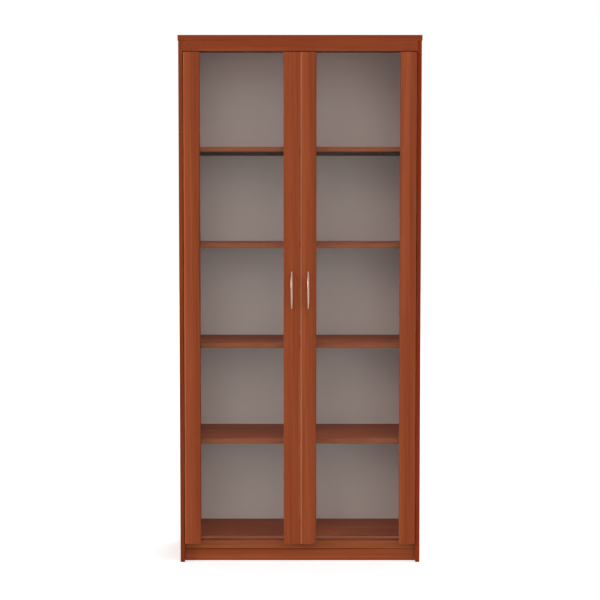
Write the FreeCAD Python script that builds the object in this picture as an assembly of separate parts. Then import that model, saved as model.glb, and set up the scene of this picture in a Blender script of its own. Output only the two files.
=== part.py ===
import FreeCAD, Part
import math
import os

from FreeCAD import Vector

# Tall bookcase: a board carcass on glides, four shelves and two glass doors with bowed stiles.
# Millimetres. X runs to the right, Y to the back, Z up. The origin is on the floor, under the middle of the
# whole bookcase with its handles. The pieces of the right half are the mirror image of the left ones.

# Case
WIDTH = 900.0
HEIGHT = 1970.0
DEPTH = 368.0
BOARD = 16.0
BOARD_ARRIS = 1.2
TOP_THICKNESS = 20.0
TOP_OVERHANG = 2.0
FASCIA_HEIGHT = 39.0
FASCIA_RECESS = 0.4
BOTTOM_THICKNESS = 31.0
BOTTOM_SETBACK = 21.0
PLINTH_FLOOR_GAP = 1.0
PLINTH_HEIGHT = 46.5
PLINTH_RECESS = 1.5

# Glides under the side panels
GLIDE_HEIGHT = 5.0
GLIDE_LENGTH = 30.0
GLIDE_END_INSET = 1.0
GLIDE_SIDE_INSET = 0.5
GLIDE_PEG_RADIUS = 2.5
GLIDE_PEG_LENGTH = 12.0

# Shelves, from the top one down, their tops as shares of the height between bottom panel and top panel
SHELF_THICKNESS = 18.0
SHELF_SETBACK = 21.0
SHELF_END_GAP = 1.0
SHELF_BACK_GAP = 2.0
SHELF_TOP_SHARES = (0.7916, 0.6004, 0.3995, 0.2066)
FIXED_SHELF_INDEX = 2

# Pins under the loose shelves, and the spare holes above and below them
SHELF_PIN_RADIUS = 2.5
SHELF_PIN_DEPTH = 9.0
SHELF_PIN_REACH = 9.0
SHELF_PIN_WIDTH = 8.0
SHELF_PIN_THICKNESS = 3.0
SHELF_PIN_COLUMN_INSET = 40.0
SHELF_PIN_PITCH = 32.0
SPARE_PIN_HOLES = 2

# Back panel halves in grooves, and the strip that joins them
BACK_THICKNESS = 3.0
BACK_INSET = 10.0
BACK_GROOVE_DEPTH = 8.0
BACK_GROOVE_CLEARANCE = 0.2
BACK_EDGE_GAP = 0.5
STRIP_WIDTH = 14.0
STRIP_LIP = 1.2
STRIP_WEB = 2.0
NAIL_RADIUS = 0.8
NAIL_LENGTH = 18.0
NAIL_HEAD_RADIUS = 2.0
NAIL_HEAD_HEIGHT = 1.0
NAIL_WIDTH_SHARES = (0.08, 0.36, 0.64, 0.92)

# Dowels and cam fittings of the board joints, placed along each joint by shares
DOWEL_RADIUS = 4.0
DOWEL_LENGTH = 30.0
DOWEL_IN_FACE = 10.0
CAM_RADIUS = 7.5
CAM_DEPTH = 12.5
CAM_DISTANCE = 24.0
CAM_SLOT_WIDTH = 1.5
CAM_SLOT_DEPTH = 2.5
BOLT_RADIUS = 3.5
BOLT_THREAD_RADIUS = 3.0
BOLT_THREAD_LENGTH = 11.0
BOLT_CORE_GAP = 2.0
CAM_DEPTH_SHARES = (0.17, 0.85)
DOWEL_DEPTH_SHARES = (0.27, 0.72)
FASCIA_DOWEL_HEIGHT_SHARES = (0.27, 0.73)
FASCIA_DOWEL_WIDTH_SHARES = (0.2, 0.5, 0.8)
PLINTH_DOWEL_HEIGHT_SHARES = (0.45, 0.8)

# Wall brackets under the top panel, with the hole for the wall screw
BRACKET_WIDTH = 26.0
BRACKET_HEIGHT = 34.0
BRACKET_LENGTH = 32.0
BRACKET_THICKNESS = 2.0
BRACKET_INSET = 15.0
ANCHOR_RADIUS = 2.75
ANCHOR_DROP = 20.0
BRACKET_SCREW_RADIUS = 1.75
BRACKET_SCREW_LENGTH = 13.0
BRACKET_SCREW_HEAD_RADIUS = 3.5
BRACKET_SCREW_HEAD_HEIGHT = 1.8
BRACKET_SCREW_WIDTH_SHARES = (0.25, 0.75)

# Doors, which stand a little in front of the side panels
DOOR_PROUD = 7.0
DOOR_SIDE_GAP = 2.0
DOOR_TOP_GAP = 4.0
DOOR_BOTTOM_LAP = 6.5
DOOR_MEETING_GAP = 0.6
STILE_WIDTH = 61.0
STILE_THICKNESS = 17.0
STILE_BOW = 5.0
STILE_GLASS_EDGE_RADIUS = 8.0
STILE_HINGE_EDGE_RADIUS = 7.0
STILE_MEETING_EDGE_RADIUS = 6.0

# Glass pane, its seals in the stile grooves, the trim on its lower edge and the pegs below it
GLASS_THICKNESS = 4.0
GLASS_DEPTH = 10.0
GLASS_COVER = 10.0
GLASS_FOOT_RISE = 20.4
SEAL_WALL = 1.0
TRIM_WALL = 1.0
TRIM_HEIGHT = 8.0
GLASS_PEG_RADIUS = 2.0
GLASS_PEG_GRIP = 3.0

# Bow handles
HANDLE_CENTRE_HEIGHT = 1027.0
HANDLE_LENGTH = 141.0
HANDLE_FOOT = 14.0
HANDLE_PROJECTION = 26.0
HANDLE_BAR = 6.0
HANDLE_WIDTH = 7.6
HANDLE_END_WIDTH = 6.6
HANDLE_EDGE_RADIUS = 2.5
HANDLE_SEAT = 1.0
HANDLE_SCREW_RADIUS = 2.0
HANDLE_SCREW_FOOT_SHARE = 0.7
HANDLE_SCREW_BITE_SHARE = 0.55
HANDLE_SCREW_HEAD_RADIUS = 4.0
HANDLE_SCREW_HEAD_HEIGHT = 2.5

# Cup hinges: a cup in each hinge stile, and a gooseneck arm on a plate on the side panel
HINGE_HEIGHT_SHARES = (0.055, 0.345, 0.665, 0.945)
PIVOT_INSET = 16.0
PIVOT_IN_CUP = 7.0
HINGE_PIN_RADIUS = 1.5
HINGE_PIN_LENGTH = 29.0
RUNNING_CLEARANCE = 0.05
CUP_RADIUS = 17.5
CUP_DEPTH = 11.5
CUP_WALL = 1.0
CUP_EDGE_DISTANCE = 4.5
FLANGE_HEIGHT = 62.0
FLANGE_THICKNESS = 1.2
FLANGE_CORNER = 6.0
CUP_SCREW_SPACING = 48.0
CUP_SCREW_OFFSET = 6.0
CUP_SCREW_RADIUS = 1.75
CUP_SCREW_LENGTH = 11.0
CUP_SCREW_HEAD_RADIUS = 3.5
CUP_SCREW_HEAD_HEIGHT = 1.8
ARM_THICKNESS = 3.0
ARM_HEIGHT = 14.0
ARM_EYE_RADIUS = 3.0
ARM_LEG_ANGLE = 22.0
ARM_SWING_CLEARANCE = 0.9
PLATE_FRONT = 27.0
PLATE_LENGTH = 46.0
PLATE_HEIGHT = 18.0
PLATE_THICKNESS = 5.0
WING_HEIGHT = 48.0
WING_LENGTH = 14.0
WING_THICKNESS = 2.0
PLATE_SCREW_SPACING = 34.0
PLATE_SCREW_RADIUS = 2.0
PLATE_SCREW_LENGTH = 13.0
PLATE_SCREW_HEAD_RADIUS = 3.8
PLATE_SCREW_HEAD_HEIGHT = 2.0
ARM_SCREW_RADIUS = 2.5
ARM_SCREW_LENGTH = 7.0
ARM_SCREW_HEAD_RADIUS = 4.5
ARM_SCREW_HEAD_HEIGHT = 2.0
ARM_SCREW_SHARE = 0.72

# Magnetic catches behind the meeting stiles, and the strike plates on the doors
CATCH_WIDTH = 76.0
CATCH_DEPTH = 13.0
LOW_CATCH_DEPTH = 30.0
CATCH_HEIGHT = 16.0
CATCH_GAP = 0.3
CATCH_TAB_THICKNESS = 3.5
CATCH_TAB_HEIGHT = 24.0
CATCH_SCREW_INSET = 5.0
CATCH_SCREW_RADIUS = 1.5
CATCH_SCREW_LENGTH = 12.0
CATCH_SCREW_BITE = 10.0
CATCH_SCREW_HEAD_RADIUS = 3.0
CATCH_SCREW_HEAD_HEIGHT = 1.6
MAGNET_WIDTH = 20.0
MAGNET_HEIGHT = 9.0
MAGNET_DEPTH = 4.0
STRIKE_RADIUS = 6.0
STRIKE_THICKNESS = 1.5
STRIKE_INSET = 16.0
STRIKE_END_INSET = 8.0
STRIKE_SCREW_RADIUS = 1.3
STRIKE_SCREW_LENGTH = 10.0
STRIKE_SCREW_HEAD_RADIUS = 2.8
STRIKE_SCREW_HEAD_HEIGHT = 0.8

# Fits and helpers
FIT_CLEARANCE = 0.1
HOLE_END_GAP = 1.0
OVERRUN = 2.0
SAME_PLACE = 0.001
RIGHT_ANGLE = 90.0

# Directions
RIGHT = Vector(1, 0, 0)
LEFT = Vector(-1, 0, 0)
BACKWARD = Vector(0, 1, 0)
FORWARD = Vector(0, -1, 0)
UP = Vector(0, 0, 1)
DOWN = Vector(0, 0, -1)

# Places worked out from the sizes
FRONT_REACH = DOOR_PROUD + STILE_BOW + HANDLE_PROJECTION
FRONT = FRONT_REACH - (DEPTH + FRONT_REACH) / 2
BACK = FRONT + DEPTH
DOOR_FRONT = FRONT - DOOR_PROUD
OUTER = -WIDTH / 2
INNER = OUTER + BOARD
SIDE_MIDDLE = OUTER + BOARD / 2
TOP_UNDERSIDE = HEIGHT - TOP_THICKNESS
BOTTOM_UNDERSIDE = PLINTH_FLOOR_GAP + PLINTH_HEIGHT
BOTTOM_TOP = BOTTOM_UNDERSIDE + BOTTOM_THICKNESS
BOTTOM_FRONT = FRONT + BOTTOM_SETBACK
PLINTH_FRONT = BOTTOM_FRONT + PLINTH_RECESS
FASCIA_BOTTOM = TOP_UNDERSIDE - FASCIA_HEIGHT
FASCIA_BACK = FRONT + FASCIA_RECESS + BOARD
BACK_REAR = BACK - BACK_INSET
BACK_FACE = BACK_REAR - BACK_THICKNESS
SHELF_FRONT = FRONT + SHELF_SETBACK
SHELF_REAR = BACK_FACE - SHELF_BACK_GAP
DOOR_BOTTOM = BOTTOM_TOP - DOOR_BOTTOM_LAP
DOOR_TOP = FASCIA_BOTTOM - DOOR_TOP_GAP
DOOR_OUTER = INNER + DOOR_SIDE_GAP
DOOR_MEETING = -DOOR_MEETING_GAP / 2
STILE_BACK = DOOR_FRONT + STILE_THICKNESS
PANE_LEFT = DOOR_OUTER + STILE_WIDTH
PANE_RIGHT = DOOR_MEETING - STILE_WIDTH
CLOSING_STILE_MIDDLE = PANE_RIGHT + STILE_WIDTH / 2
GLASS_MIDDLE = DOOR_FRONT + GLASS_DEPTH
GLASS_BOTTOM = DOOR_BOTTOM + GLASS_FOOT_RISE
GLASS_TOP = DOOR_TOP
GROOVE_WIDTH = GLASS_THICKNESS + 2 * SEAL_WALL
GROOVE_DEPTH = GLASS_COVER + SEAL_WALL
PIVOT_X = INNER + PIVOT_INSET
PIVOT_Y = STILE_BACK - PIVOT_IN_CUP
CUP_X = DOOR_OUTER + CUP_EDGE_DISTANCE + CUP_RADIUS
STRIKE_FACE = STILE_BACK + STRIKE_THICKNESS
CATCH_FACE = STRIKE_FACE + CATCH_GAP
STRIKE_X = DOOR_MEETING - STRIKE_INSET
TOP_STRIKE_Z = DOOR_TOP - STRIKE_END_INSET
BOTTOM_STRIKE_Z = BOTTOM_TOP + STRIKE_END_INSET


def box(x0, x1, y0, y1, z0, z1):
    return Part.makeBox(x1 - x0, y1 - y0, z1 - z0, Vector(x0, y0, z0))


def rod(start, direction, radius, length):
    return Part.makeCylinder(radius, length, start, direction)


def mirrored(shape):
    return shape.mirror(Vector(0, 0, 0), RIGHT)


def both(shapes):
    return shapes + [mirrored(shape) for shape in shapes]


def joined(first, *others):
    return first.fuse(list(others)).removeSplitter()


def same(a, b):
    return abs(a - b) < SAME_PLACE


def softened(shape, radius, chosen):
    edges = [edge for edge in shape.Edges if chosen(edge.CenterOfMass)]
    return shape.makeFillet(radius, edges)


def between(start, end, share):
    return start + share * (end - start)


def extruded(edges, direction):
    wire = Part.Wire(Part.__sortEdges__(edges))
    return Part.Face(wire).extrude(direction)


def line(a, b):
    return Part.LineSegment(a, b).toShape()


def arc(a, middle, b):
    return Part.Arc(a, middle, b).toShape()


# A screw whose head stands on the surface at the given point, with its shank along the given direction
def screw(point, direction, radius, length, head_radius, head_height):
    head = rod(point - direction * head_height, direction, head_radius, head_height)
    return joined(rod(point, direction, radius, length), head)


def screw_hole(point, direction, radius, length):
    return rod(point, direction, radius + FIT_CLEARANCE, length + HOLE_END_GAP)


# Board joints. Each one has its point on the contact plane and the direction that leads from the board with
# the drilled face into the board with the drilled edge.
def dowel(joint):
    point, direction = joint
    return rod(point - direction * DOWEL_IN_FACE, direction, DOWEL_RADIUS, DOWEL_LENGTH)


def dowel_hole(joint):
    point, direction = joint
    start = point - direction * (DOWEL_IN_FACE + HOLE_END_GAP)
    return rod(start, direction, DOWEL_RADIUS + FIT_CLEARANCE, DOWEL_LENGTH + 2 * HOLE_END_GAP)


def cam_bolt(joint):
    point, direction, into_face, face_distance = joint
    thread = rod(point - direction * BOLT_THREAD_LENGTH, direction, BOLT_THREAD_RADIUS, BOLT_THREAD_LENGTH)
    return joined(thread, rod(point, direction, BOLT_RADIUS, CAM_DISTANCE - BOLT_CORE_GAP))


def cam_bolt_hole(joint):
    point, direction, into_face, face_distance = joint
    start = point - direction * (BOLT_THREAD_LENGTH + HOLE_END_GAP)
    thread = rod(start, direction, BOLT_THREAD_RADIUS + FIT_CLEARANCE, BOLT_THREAD_LENGTH + HOLE_END_GAP)
    return joined(thread, rod(point, direction, BOLT_RADIUS + FIT_CLEARANCE, CAM_DISTANCE))


def cam_body(joint, clearance):
    point, direction, into_face, face_distance = joint
    start = point + direction * CAM_DISTANCE - into_face * face_distance
    return rod(start, into_face, CAM_RADIUS + clearance, CAM_DEPTH + clearance)


def cam_slot(joint):
    point, direction, into_face, face_distance = joint
    start = point + direction * CAM_DISTANCE - into_face * face_distance
    across = direction.cross(into_face)
    corner = start - direction * CAM_RADIUS - across * (CAM_SLOT_WIDTH / 2)
    corners = [corner, corner + direction * (2 * CAM_RADIUS)]
    corners.append(corners[-1] + across * CAM_SLOT_WIDTH)
    corners.append(corner + across * CAM_SLOT_WIDTH)
    return Part.Face(Part.makePolygon(corners + [corner])).extrude(into_face * CAM_SLOT_DEPTH)


def cam_lock(joint):
    return cam_body(joint, 0).cut([cam_bolt_hole(joint), cam_slot(joint)])


def top_cam_joints():
    depths = [between(FRONT, BACK_FACE, share) for share in CAM_DEPTH_SHARES]
    return [(Vector(SIDE_MIDDLE, y, TOP_UNDERSIDE), DOWN, LEFT, BOARD / 2) for y in depths]


def bottom_cam_joints():
    depths = [between(FRONT, BACK_FACE, share) for share in CAM_DEPTH_SHARES]
    return [(Vector(INNER, y, BOTTOM_UNDERSIDE + BOARD / 2), RIGHT, UP, BOARD / 2) for y in depths]


def shelf_cam_joints():
    middle = shelf_top(FIXED_SHELF_INDEX) - SHELF_THICKNESS / 2
    depths = [between(SHELF_FRONT, SHELF_REAR, share) for share in CAM_DEPTH_SHARES]
    return [(Vector(INNER, y, middle), RIGHT, UP, SHELF_THICKNESS / 2) for y in depths]


def top_dowel_joints():
    depths = [between(FRONT, BACK_FACE, share) for share in DOWEL_DEPTH_SHARES]
    return [(Vector(SIDE_MIDDLE, y, TOP_UNDERSIDE), DOWN) for y in depths]


def bottom_dowel_joints():
    depths = [between(FRONT, BACK_FACE, share) for share in DOWEL_DEPTH_SHARES]
    return [(Vector(INNER, y, BOTTOM_UNDERSIDE + BOARD / 2), RIGHT) for y in depths]


def shelf_dowel_joints():
    middle = shelf_top(FIXED_SHELF_INDEX) - SHELF_THICKNESS / 2
    depths = [between(SHELF_FRONT, SHELF_REAR, share) for share in DOWEL_DEPTH_SHARES]
    return [(Vector(INNER, y, middle), RIGHT) for y in depths]


def fascia_end_joints():
    heights = [between(FASCIA_BOTTOM, TOP_UNDERSIDE, share) for share in FASCIA_DOWEL_HEIGHT_SHARES]
    return [(Vector(INNER, FASCIA_BACK - BOARD / 2, z), RIGHT) for z in heights]


def fascia_top_joints():
    places = [between(INNER, -INNER, share) for share in FASCIA_DOWEL_WIDTH_SHARES]
    return [(Vector(x, FASCIA_BACK - BOARD / 2, TOP_UNDERSIDE), DOWN) for x in places]


def plinth_joints():
    y = PLINTH_FRONT + BOARD / 2
    heights = [between(GLIDE_HEIGHT, BOTTOM_UNDERSIDE, share) for share in PLINTH_DOWEL_HEIGHT_SHARES]
    return [(Vector(INNER, y, z), RIGHT) for z in heights]


def side_dowel_joints():
    joints = top_dowel_joints() + bottom_dowel_joints() + shelf_dowel_joints()
    return joints + fascia_end_joints() + plinth_joints()


def side_cam_joints():
    return top_cam_joints() + bottom_cam_joints() + shelf_cam_joints()


def dowels():
    paired = both([dowel(joint) for joint in side_dowel_joints()])
    return Part.makeCompound(paired + [dowel(joint) for joint in fascia_top_joints()])


def cam_bolts():
    return Part.makeCompound(both([cam_bolt(joint) for joint in side_cam_joints()]))


def cam_locks():
    return Part.makeCompound(both([cam_lock(joint) for joint in side_cam_joints()]))


def joint_holes(cam_joints, dowel_joints):
    holes = [cam_bolt_hole(joint) for joint in cam_joints]
    holes += [cam_body(joint, FIT_CLEARANCE) for joint in cam_joints]
    return holes + [dowel_hole(joint) for joint in dowel_joints]


# Shelves and their pins
def shelf_top(index):
    return between(BOTTOM_TOP, TOP_UNDERSIDE, SHELF_TOP_SHARES[index])


def loose_shelves():
    return [index for index in range(len(SHELF_TOP_SHARES)) if index != FIXED_SHELF_INDEX]


def shelf(index):
    top = shelf_top(index)
    gap = SHELF_END_GAP
    holes = []
    if index == FIXED_SHELF_INDEX:
        gap = 0
        holes = both(joint_holes(shelf_cam_joints(), shelf_dowel_joints()))
    plain = box(INNER + gap, -INNER - gap, SHELF_FRONT, SHELF_REAR, top - SHELF_THICKNESS, top)
    rounded = softened(plain, BOARD_ARRIS, lambda c: same(c.y, SHELF_FRONT) and same(c.x, 0))
    return rounded.cut(holes) if holes else rounded


def shelf_pin_depths():
    return (SHELF_FRONT + SHELF_PIN_COLUMN_INSET, SHELF_REAR - SHELF_PIN_COLUMN_INSET)


def shelf_pin(y, underside):
    start = Vector(INNER - SHELF_PIN_DEPTH, y, underside - SHELF_PIN_RADIUS)
    peg = rod(start, RIGHT, SHELF_PIN_RADIUS, SHELF_PIN_DEPTH + SHELF_END_GAP)
    half = SHELF_PIN_WIDTH / 2
    reach = INNER + SHELF_PIN_REACH
    return joined(peg, box(INNER, reach, y - half, y + half, underside - SHELF_PIN_THICKNESS, underside))


def shelf_pins():
    pins = []
    for index in loose_shelves():
        underside = shelf_top(index) - SHELF_THICKNESS
        pins += [shelf_pin(y, underside) for y in shelf_pin_depths()]
    return Part.makeCompound(both(pins))


def shelf_pin_holes():
    holes = []
    depth = SHELF_PIN_DEPTH + HOLE_END_GAP
    radius = SHELF_PIN_RADIUS + FIT_CLEARANCE
    for index in loose_shelves():
        middle = shelf_top(index) - SHELF_THICKNESS - SHELF_PIN_RADIUS
        for step in range(-SPARE_PIN_HOLES, SPARE_PIN_HOLES + 1):
            for y in shelf_pin_depths():
                start = Vector(INNER - depth, y, middle + step * SHELF_PIN_PITCH)
                holes.append(rod(start, RIGHT, radius, depth + OVERRUN))
    return holes


# Carcass boards
def side_panel():
    plain = box(OUTER, INNER, FRONT, BACK, GLIDE_HEIGHT, TOP_UNDERSIDE)
    middle = (GLIDE_HEIGHT + TOP_UNDERSIDE) / 2
    rounded = softened(plain, BOARD_ARRIS, lambda c: same(c.y, FRONT) and same(c.z, middle))
    cuts = [side_groove()] + shelf_pin_holes() + plate_screw_holes() + glide_peg_holes()
    return rounded.cut(cuts + joint_holes(side_cam_joints(), side_dowel_joints()))


def side_groove():
    start = INNER - BACK_GROOVE_DEPTH
    y0 = BACK_FACE - BACK_GROOVE_CLEARANCE
    y1 = BACK_REAR + BACK_GROOVE_CLEARANCE
    return box(start, INNER + OVERRUN, y0, y1, GLIDE_HEIGHT - OVERRUN, TOP_UNDERSIDE + OVERRUN)


def top_panel():
    reach = -OUTER + TOP_OVERHANG
    plain = box(-reach, reach, FRONT - TOP_OVERHANG, BACK, TOP_UNDERSIDE, HEIGHT)
    rounded = softened(plain, BOARD_ARRIS, lambda c: not same(c.y, BACK))
    y0 = BACK_FACE - BACK_GROOVE_CLEARANCE
    y1 = BACK_REAR + BACK_GROOVE_CLEARANCE
    edge = INNER - BACK_GROOVE_DEPTH
    groove = box(edge, -edge, y0, y1, TOP_UNDERSIDE - OVERRUN, TOP_UNDERSIDE + BACK_GROOVE_DEPTH)
    holes = both(joint_holes(top_cam_joints(), top_dowel_joints()))
    holes += joint_holes([], fascia_top_joints())
    return rounded.cut([groove] + holes + both(bracket_screw_holes()))


def top_fascia():
    front = FASCIA_BACK - BOARD
    plain = box(INNER, -INNER, front, FASCIA_BACK, FASCIA_BOTTOM, TOP_UNDERSIDE)
    rounded = softened(plain, BOARD_ARRIS, lambda c: same(c.y, front) and same(c.z, FASCIA_BOTTOM))
    holes = both(joint_holes([], fascia_end_joints())) + joint_holes([], fascia_top_joints())
    return rounded.cut(holes + both([top_catch_screw_hole()]))


def bottom_panel():
    plain = box(INNER, -INNER, BOTTOM_FRONT, BACK_FACE, BOTTOM_UNDERSIDE, BOTTOM_TOP)
    rounded = softened(plain, BOARD_ARRIS, lambda c: same(c.y, BOTTOM_FRONT) and same(c.x, 0))
    holes = both(joint_holes(bottom_cam_joints(), bottom_dowel_joints()))
    return rounded.cut(holes + both(nail_holes()) + both([bottom_catch_screw_hole()]))


def plinth():
    plain = box(INNER, -INNER, PLINTH_FRONT, PLINTH_FRONT + BOARD, PLINTH_FLOOR_GAP, BOTTOM_UNDERSIDE)
    rounded = softened(plain, BOARD_ARRIS, lambda c: same(c.y, PLINTH_FRONT) and same(c.x, 0))
    return rounded.cut(both(joint_holes([], plinth_joints())))


# Glides
def glide_middles():
    inset = GLIDE_END_INSET + GLIDE_LENGTH / 2
    return (FRONT + inset, BACK - inset)


def glide(y):
    half = GLIDE_LENGTH / 2
    x0 = OUTER + GLIDE_SIDE_INSET
    x1 = INNER - GLIDE_SIDE_INSET
    pad = softened(box(x0, x1, y - half, y + half, 0, GLIDE_HEIGHT), BOARD_ARRIS, lambda c: same(c.z, 0))
    return joined(pad, rod(Vector(SIDE_MIDDLE, y, GLIDE_HEIGHT), UP, GLIDE_PEG_RADIUS, GLIDE_PEG_LENGTH))


def floor_glides():
    return Part.makeCompound(both([glide(y) for y in glide_middles()]))


def glide_peg_holes():
    starts = [Vector(SIDE_MIDDLE, y, GLIDE_HEIGHT) for y in glide_middles()]
    return [screw_hole(start, UP, GLIDE_PEG_RADIUS, GLIDE_PEG_LENGTH) for start in starts]


# Back
def back_panel():
    x0 = INNER - BACK_GROOVE_DEPTH + BACK_EDGE_GAP
    x1 = -STRIP_WEB / 2
    top = TOP_UNDERSIDE + BACK_GROOVE_DEPTH - BACK_EDGE_GAP
    plain = box(x0, x1, BACK_FACE, BACK_REAR, BOTTOM_UNDERSIDE, top)
    return plain.cut(nail_holes() + [anchor_hole()])


def back_joining_strip():
    half = STRIP_WIDTH / 2
    web = STRIP_WEB / 2
    front = box(-half, half, BACK_FACE - STRIP_LIP, BACK_FACE, BOTTOM_TOP, TOP_UNDERSIDE)
    rear = box(-half, half, BACK_REAR, BACK_REAR + STRIP_LIP, BOTTOM_TOP, TOP_UNDERSIDE)
    return joined(front, rear, box(-web, web, BACK_FACE, BACK_REAR, BOTTOM_TOP, TOP_UNDERSIDE))


def nail_places():
    places = [between(INNER, 0, share) for share in NAIL_WIDTH_SHARES]
    return [Vector(x, BACK_REAR, BOTTOM_UNDERSIDE + BOARD / 2) for x in places]


def back_panel_nails():
    sizes = (NAIL_RADIUS, NAIL_LENGTH, NAIL_HEAD_RADIUS, NAIL_HEAD_HEIGHT)
    return Part.makeCompound(both([screw(place, FORWARD, *sizes) for place in nail_places()]))


def nail_holes():
    return [screw_hole(place, FORWARD, NAIL_RADIUS, NAIL_LENGTH) for place in nail_places()]


# Wall brackets
def bracket_middle():
    return INNER + BRACKET_INSET


def anchor_hole():
    start = Vector(bracket_middle(), BACK_FACE - BRACKET_THICKNESS - OVERRUN, TOP_UNDERSIDE - ANCHOR_DROP)
    return rod(start, BACKWARD, ANCHOR_RADIUS, BRACKET_THICKNESS + BACK_THICKNESS + 2 * OVERRUN)


def bracket_screw_places():
    x0 = bracket_middle() - BRACKET_WIDTH / 2
    places = [between(x0, x0 + BRACKET_WIDTH, share) for share in BRACKET_SCREW_WIDTH_SHARES]
    y = BACK_FACE - BRACKET_LENGTH / 2
    return [Vector(x, y, TOP_UNDERSIDE - BRACKET_THICKNESS) for x in places]


def bracket_screw_holes():
    sizes = (BRACKET_SCREW_RADIUS, BRACKET_SCREW_LENGTH)
    return [screw_hole(place, UP, *sizes) for place in bracket_screw_places()]


def wall_bracket():
    x0 = bracket_middle() - BRACKET_WIDTH / 2
    x1 = x0 + BRACKET_WIDTH
    y0 = BACK_FACE - BRACKET_THICKNESS
    upright = box(x0, x1, y0, BACK_FACE, TOP_UNDERSIDE - BRACKET_HEIGHT, TOP_UNDERSIDE)
    foot_front = BACK_FACE - BRACKET_LENGTH
    foot = box(x0, x1, foot_front, BACK_FACE, TOP_UNDERSIDE - BRACKET_THICKNESS, TOP_UNDERSIDE)
    return joined(upright, foot).cut([anchor_hole()] + bracket_screw_holes())


def wall_brackets():
    return Part.makeCompound(both([wall_bracket()]))


def wall_bracket_screws():
    head = (BRACKET_SCREW_HEAD_RADIUS, BRACKET_SCREW_HEAD_HEIGHT)
    sizes = (BRACKET_SCREW_RADIUS, BRACKET_SCREW_LENGTH, *head)
    return Part.makeCompound(both([screw(place, UP, *sizes) for place in bracket_screw_places()]))


# Magnetic catches
def magnet(z):
    half_width = MAGNET_WIDTH / 2
    half_height = MAGNET_HEIGHT / 2
    x = STRIKE_X
    y1 = CATCH_FACE + MAGNET_DEPTH
    return box(x - half_width, x + half_width, CATCH_FACE, y1, z - half_height, z + half_height)


def catch_magnets():
    return Part.makeCompound(both([magnet(TOP_STRIKE_Z), magnet(BOTTOM_STRIKE_Z)]))


def top_catch():
    half = CATCH_WIDTH / 2
    rear = CATCH_FACE + CATCH_DEPTH
    low = TOP_STRIKE_Z - CATCH_HEIGHT / 2
    high = FASCIA_BOTTOM + CATCH_TAB_HEIGHT
    block = box(-half, half, CATCH_FACE, rear, low, FASCIA_BOTTOM)
    tab = box(-half, half, FASCIA_BACK, FASCIA_BACK + CATCH_TAB_THICKNESS, low, high)
    return joined(block, tab).cut(both([magnet(TOP_STRIKE_Z), top_catch_screw_hole()]))


def top_catch_screw_place():
    x = CATCH_SCREW_INSET - CATCH_WIDTH / 2
    z = FASCIA_BOTTOM + CATCH_TAB_HEIGHT - CATCH_SCREW_INSET
    return Vector(x, FASCIA_BACK + CATCH_TAB_THICKNESS, z)


def top_catch_screw_hole():
    return screw_hole(top_catch_screw_place(), FORWARD, CATCH_SCREW_RADIUS, CATCH_SCREW_LENGTH)


def bottom_catch_top():
    return BOTTOM_STRIKE_Z + CATCH_HEIGHT / 2


def bottom_catch():
    half = CATCH_WIDTH / 2
    block = box(-half, half, CATCH_FACE, CATCH_FACE + LOW_CATCH_DEPTH, BOTTOM_TOP, bottom_catch_top())
    return block.cut(both([magnet(BOTTOM_STRIKE_Z), bottom_catch_screw_hole()]))


def bottom_catch_screw_place():
    x = CATCH_SCREW_INSET - CATCH_WIDTH / 2
    y = (BOTTOM_FRONT + CATCH_FACE + LOW_CATCH_DEPTH) / 2
    return Vector(x, y, bottom_catch_top())


def bottom_catch_screw_length():
    return bottom_catch_top() - BOTTOM_TOP + CATCH_SCREW_BITE


def bottom_catch_screw_hole():
    return screw_hole(bottom_catch_screw_place(), DOWN, CATCH_SCREW_RADIUS, bottom_catch_screw_length())


def catch_screws():
    head = (CATCH_SCREW_HEAD_RADIUS, CATCH_SCREW_HEAD_HEIGHT)
    high = screw(top_catch_screw_place(), FORWARD, CATCH_SCREW_RADIUS, CATCH_SCREW_LENGTH, *head)
    low = screw(bottom_catch_screw_place(), DOWN, CATCH_SCREW_RADIUS, bottom_catch_screw_length(), *head)
    return Part.makeCompound(both([high, low]))


def strike_heights():
    return (TOP_STRIKE_Z, BOTTOM_STRIKE_Z)


def strike_screw_place(z):
    return Vector(STRIKE_X, STRIKE_FACE - STRIKE_SCREW_HEAD_HEIGHT, z)


def strike_plate(z):
    disc = rod(Vector(STRIKE_X, STILE_BACK, z), BACKWARD, STRIKE_RADIUS, STRIKE_THICKNESS)
    head_radius = STRIKE_SCREW_HEAD_RADIUS + FIT_CLEARANCE
    head_room = rod(strike_screw_place(z), BACKWARD, head_radius, STRIKE_THICKNESS)
    return disc.cut([head_room, strike_screw_hole(z)])


def strike_screw(z):
    sizes = (STRIKE_SCREW_RADIUS, STRIKE_SCREW_LENGTH, STRIKE_SCREW_HEAD_RADIUS, STRIKE_SCREW_HEAD_HEIGHT)
    return screw(strike_screw_place(z), FORWARD, *sizes)


def strike_screw_hole(z):
    return screw_hole(strike_screw_place(z), FORWARD, STRIKE_SCREW_RADIUS, STRIKE_SCREW_LENGTH)


def strike_plates():
    return Part.makeCompound([strike_plate(z) for z in strike_heights()])


def strike_screws():
    return Part.makeCompound([strike_screw(z) for z in strike_heights()])


# Hinges, each about the height of its middle
def hinge_heights():
    return [between(DOOR_BOTTOM, DOOR_TOP, share) for share in HINGE_HEIGHT_SHARES]


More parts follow.
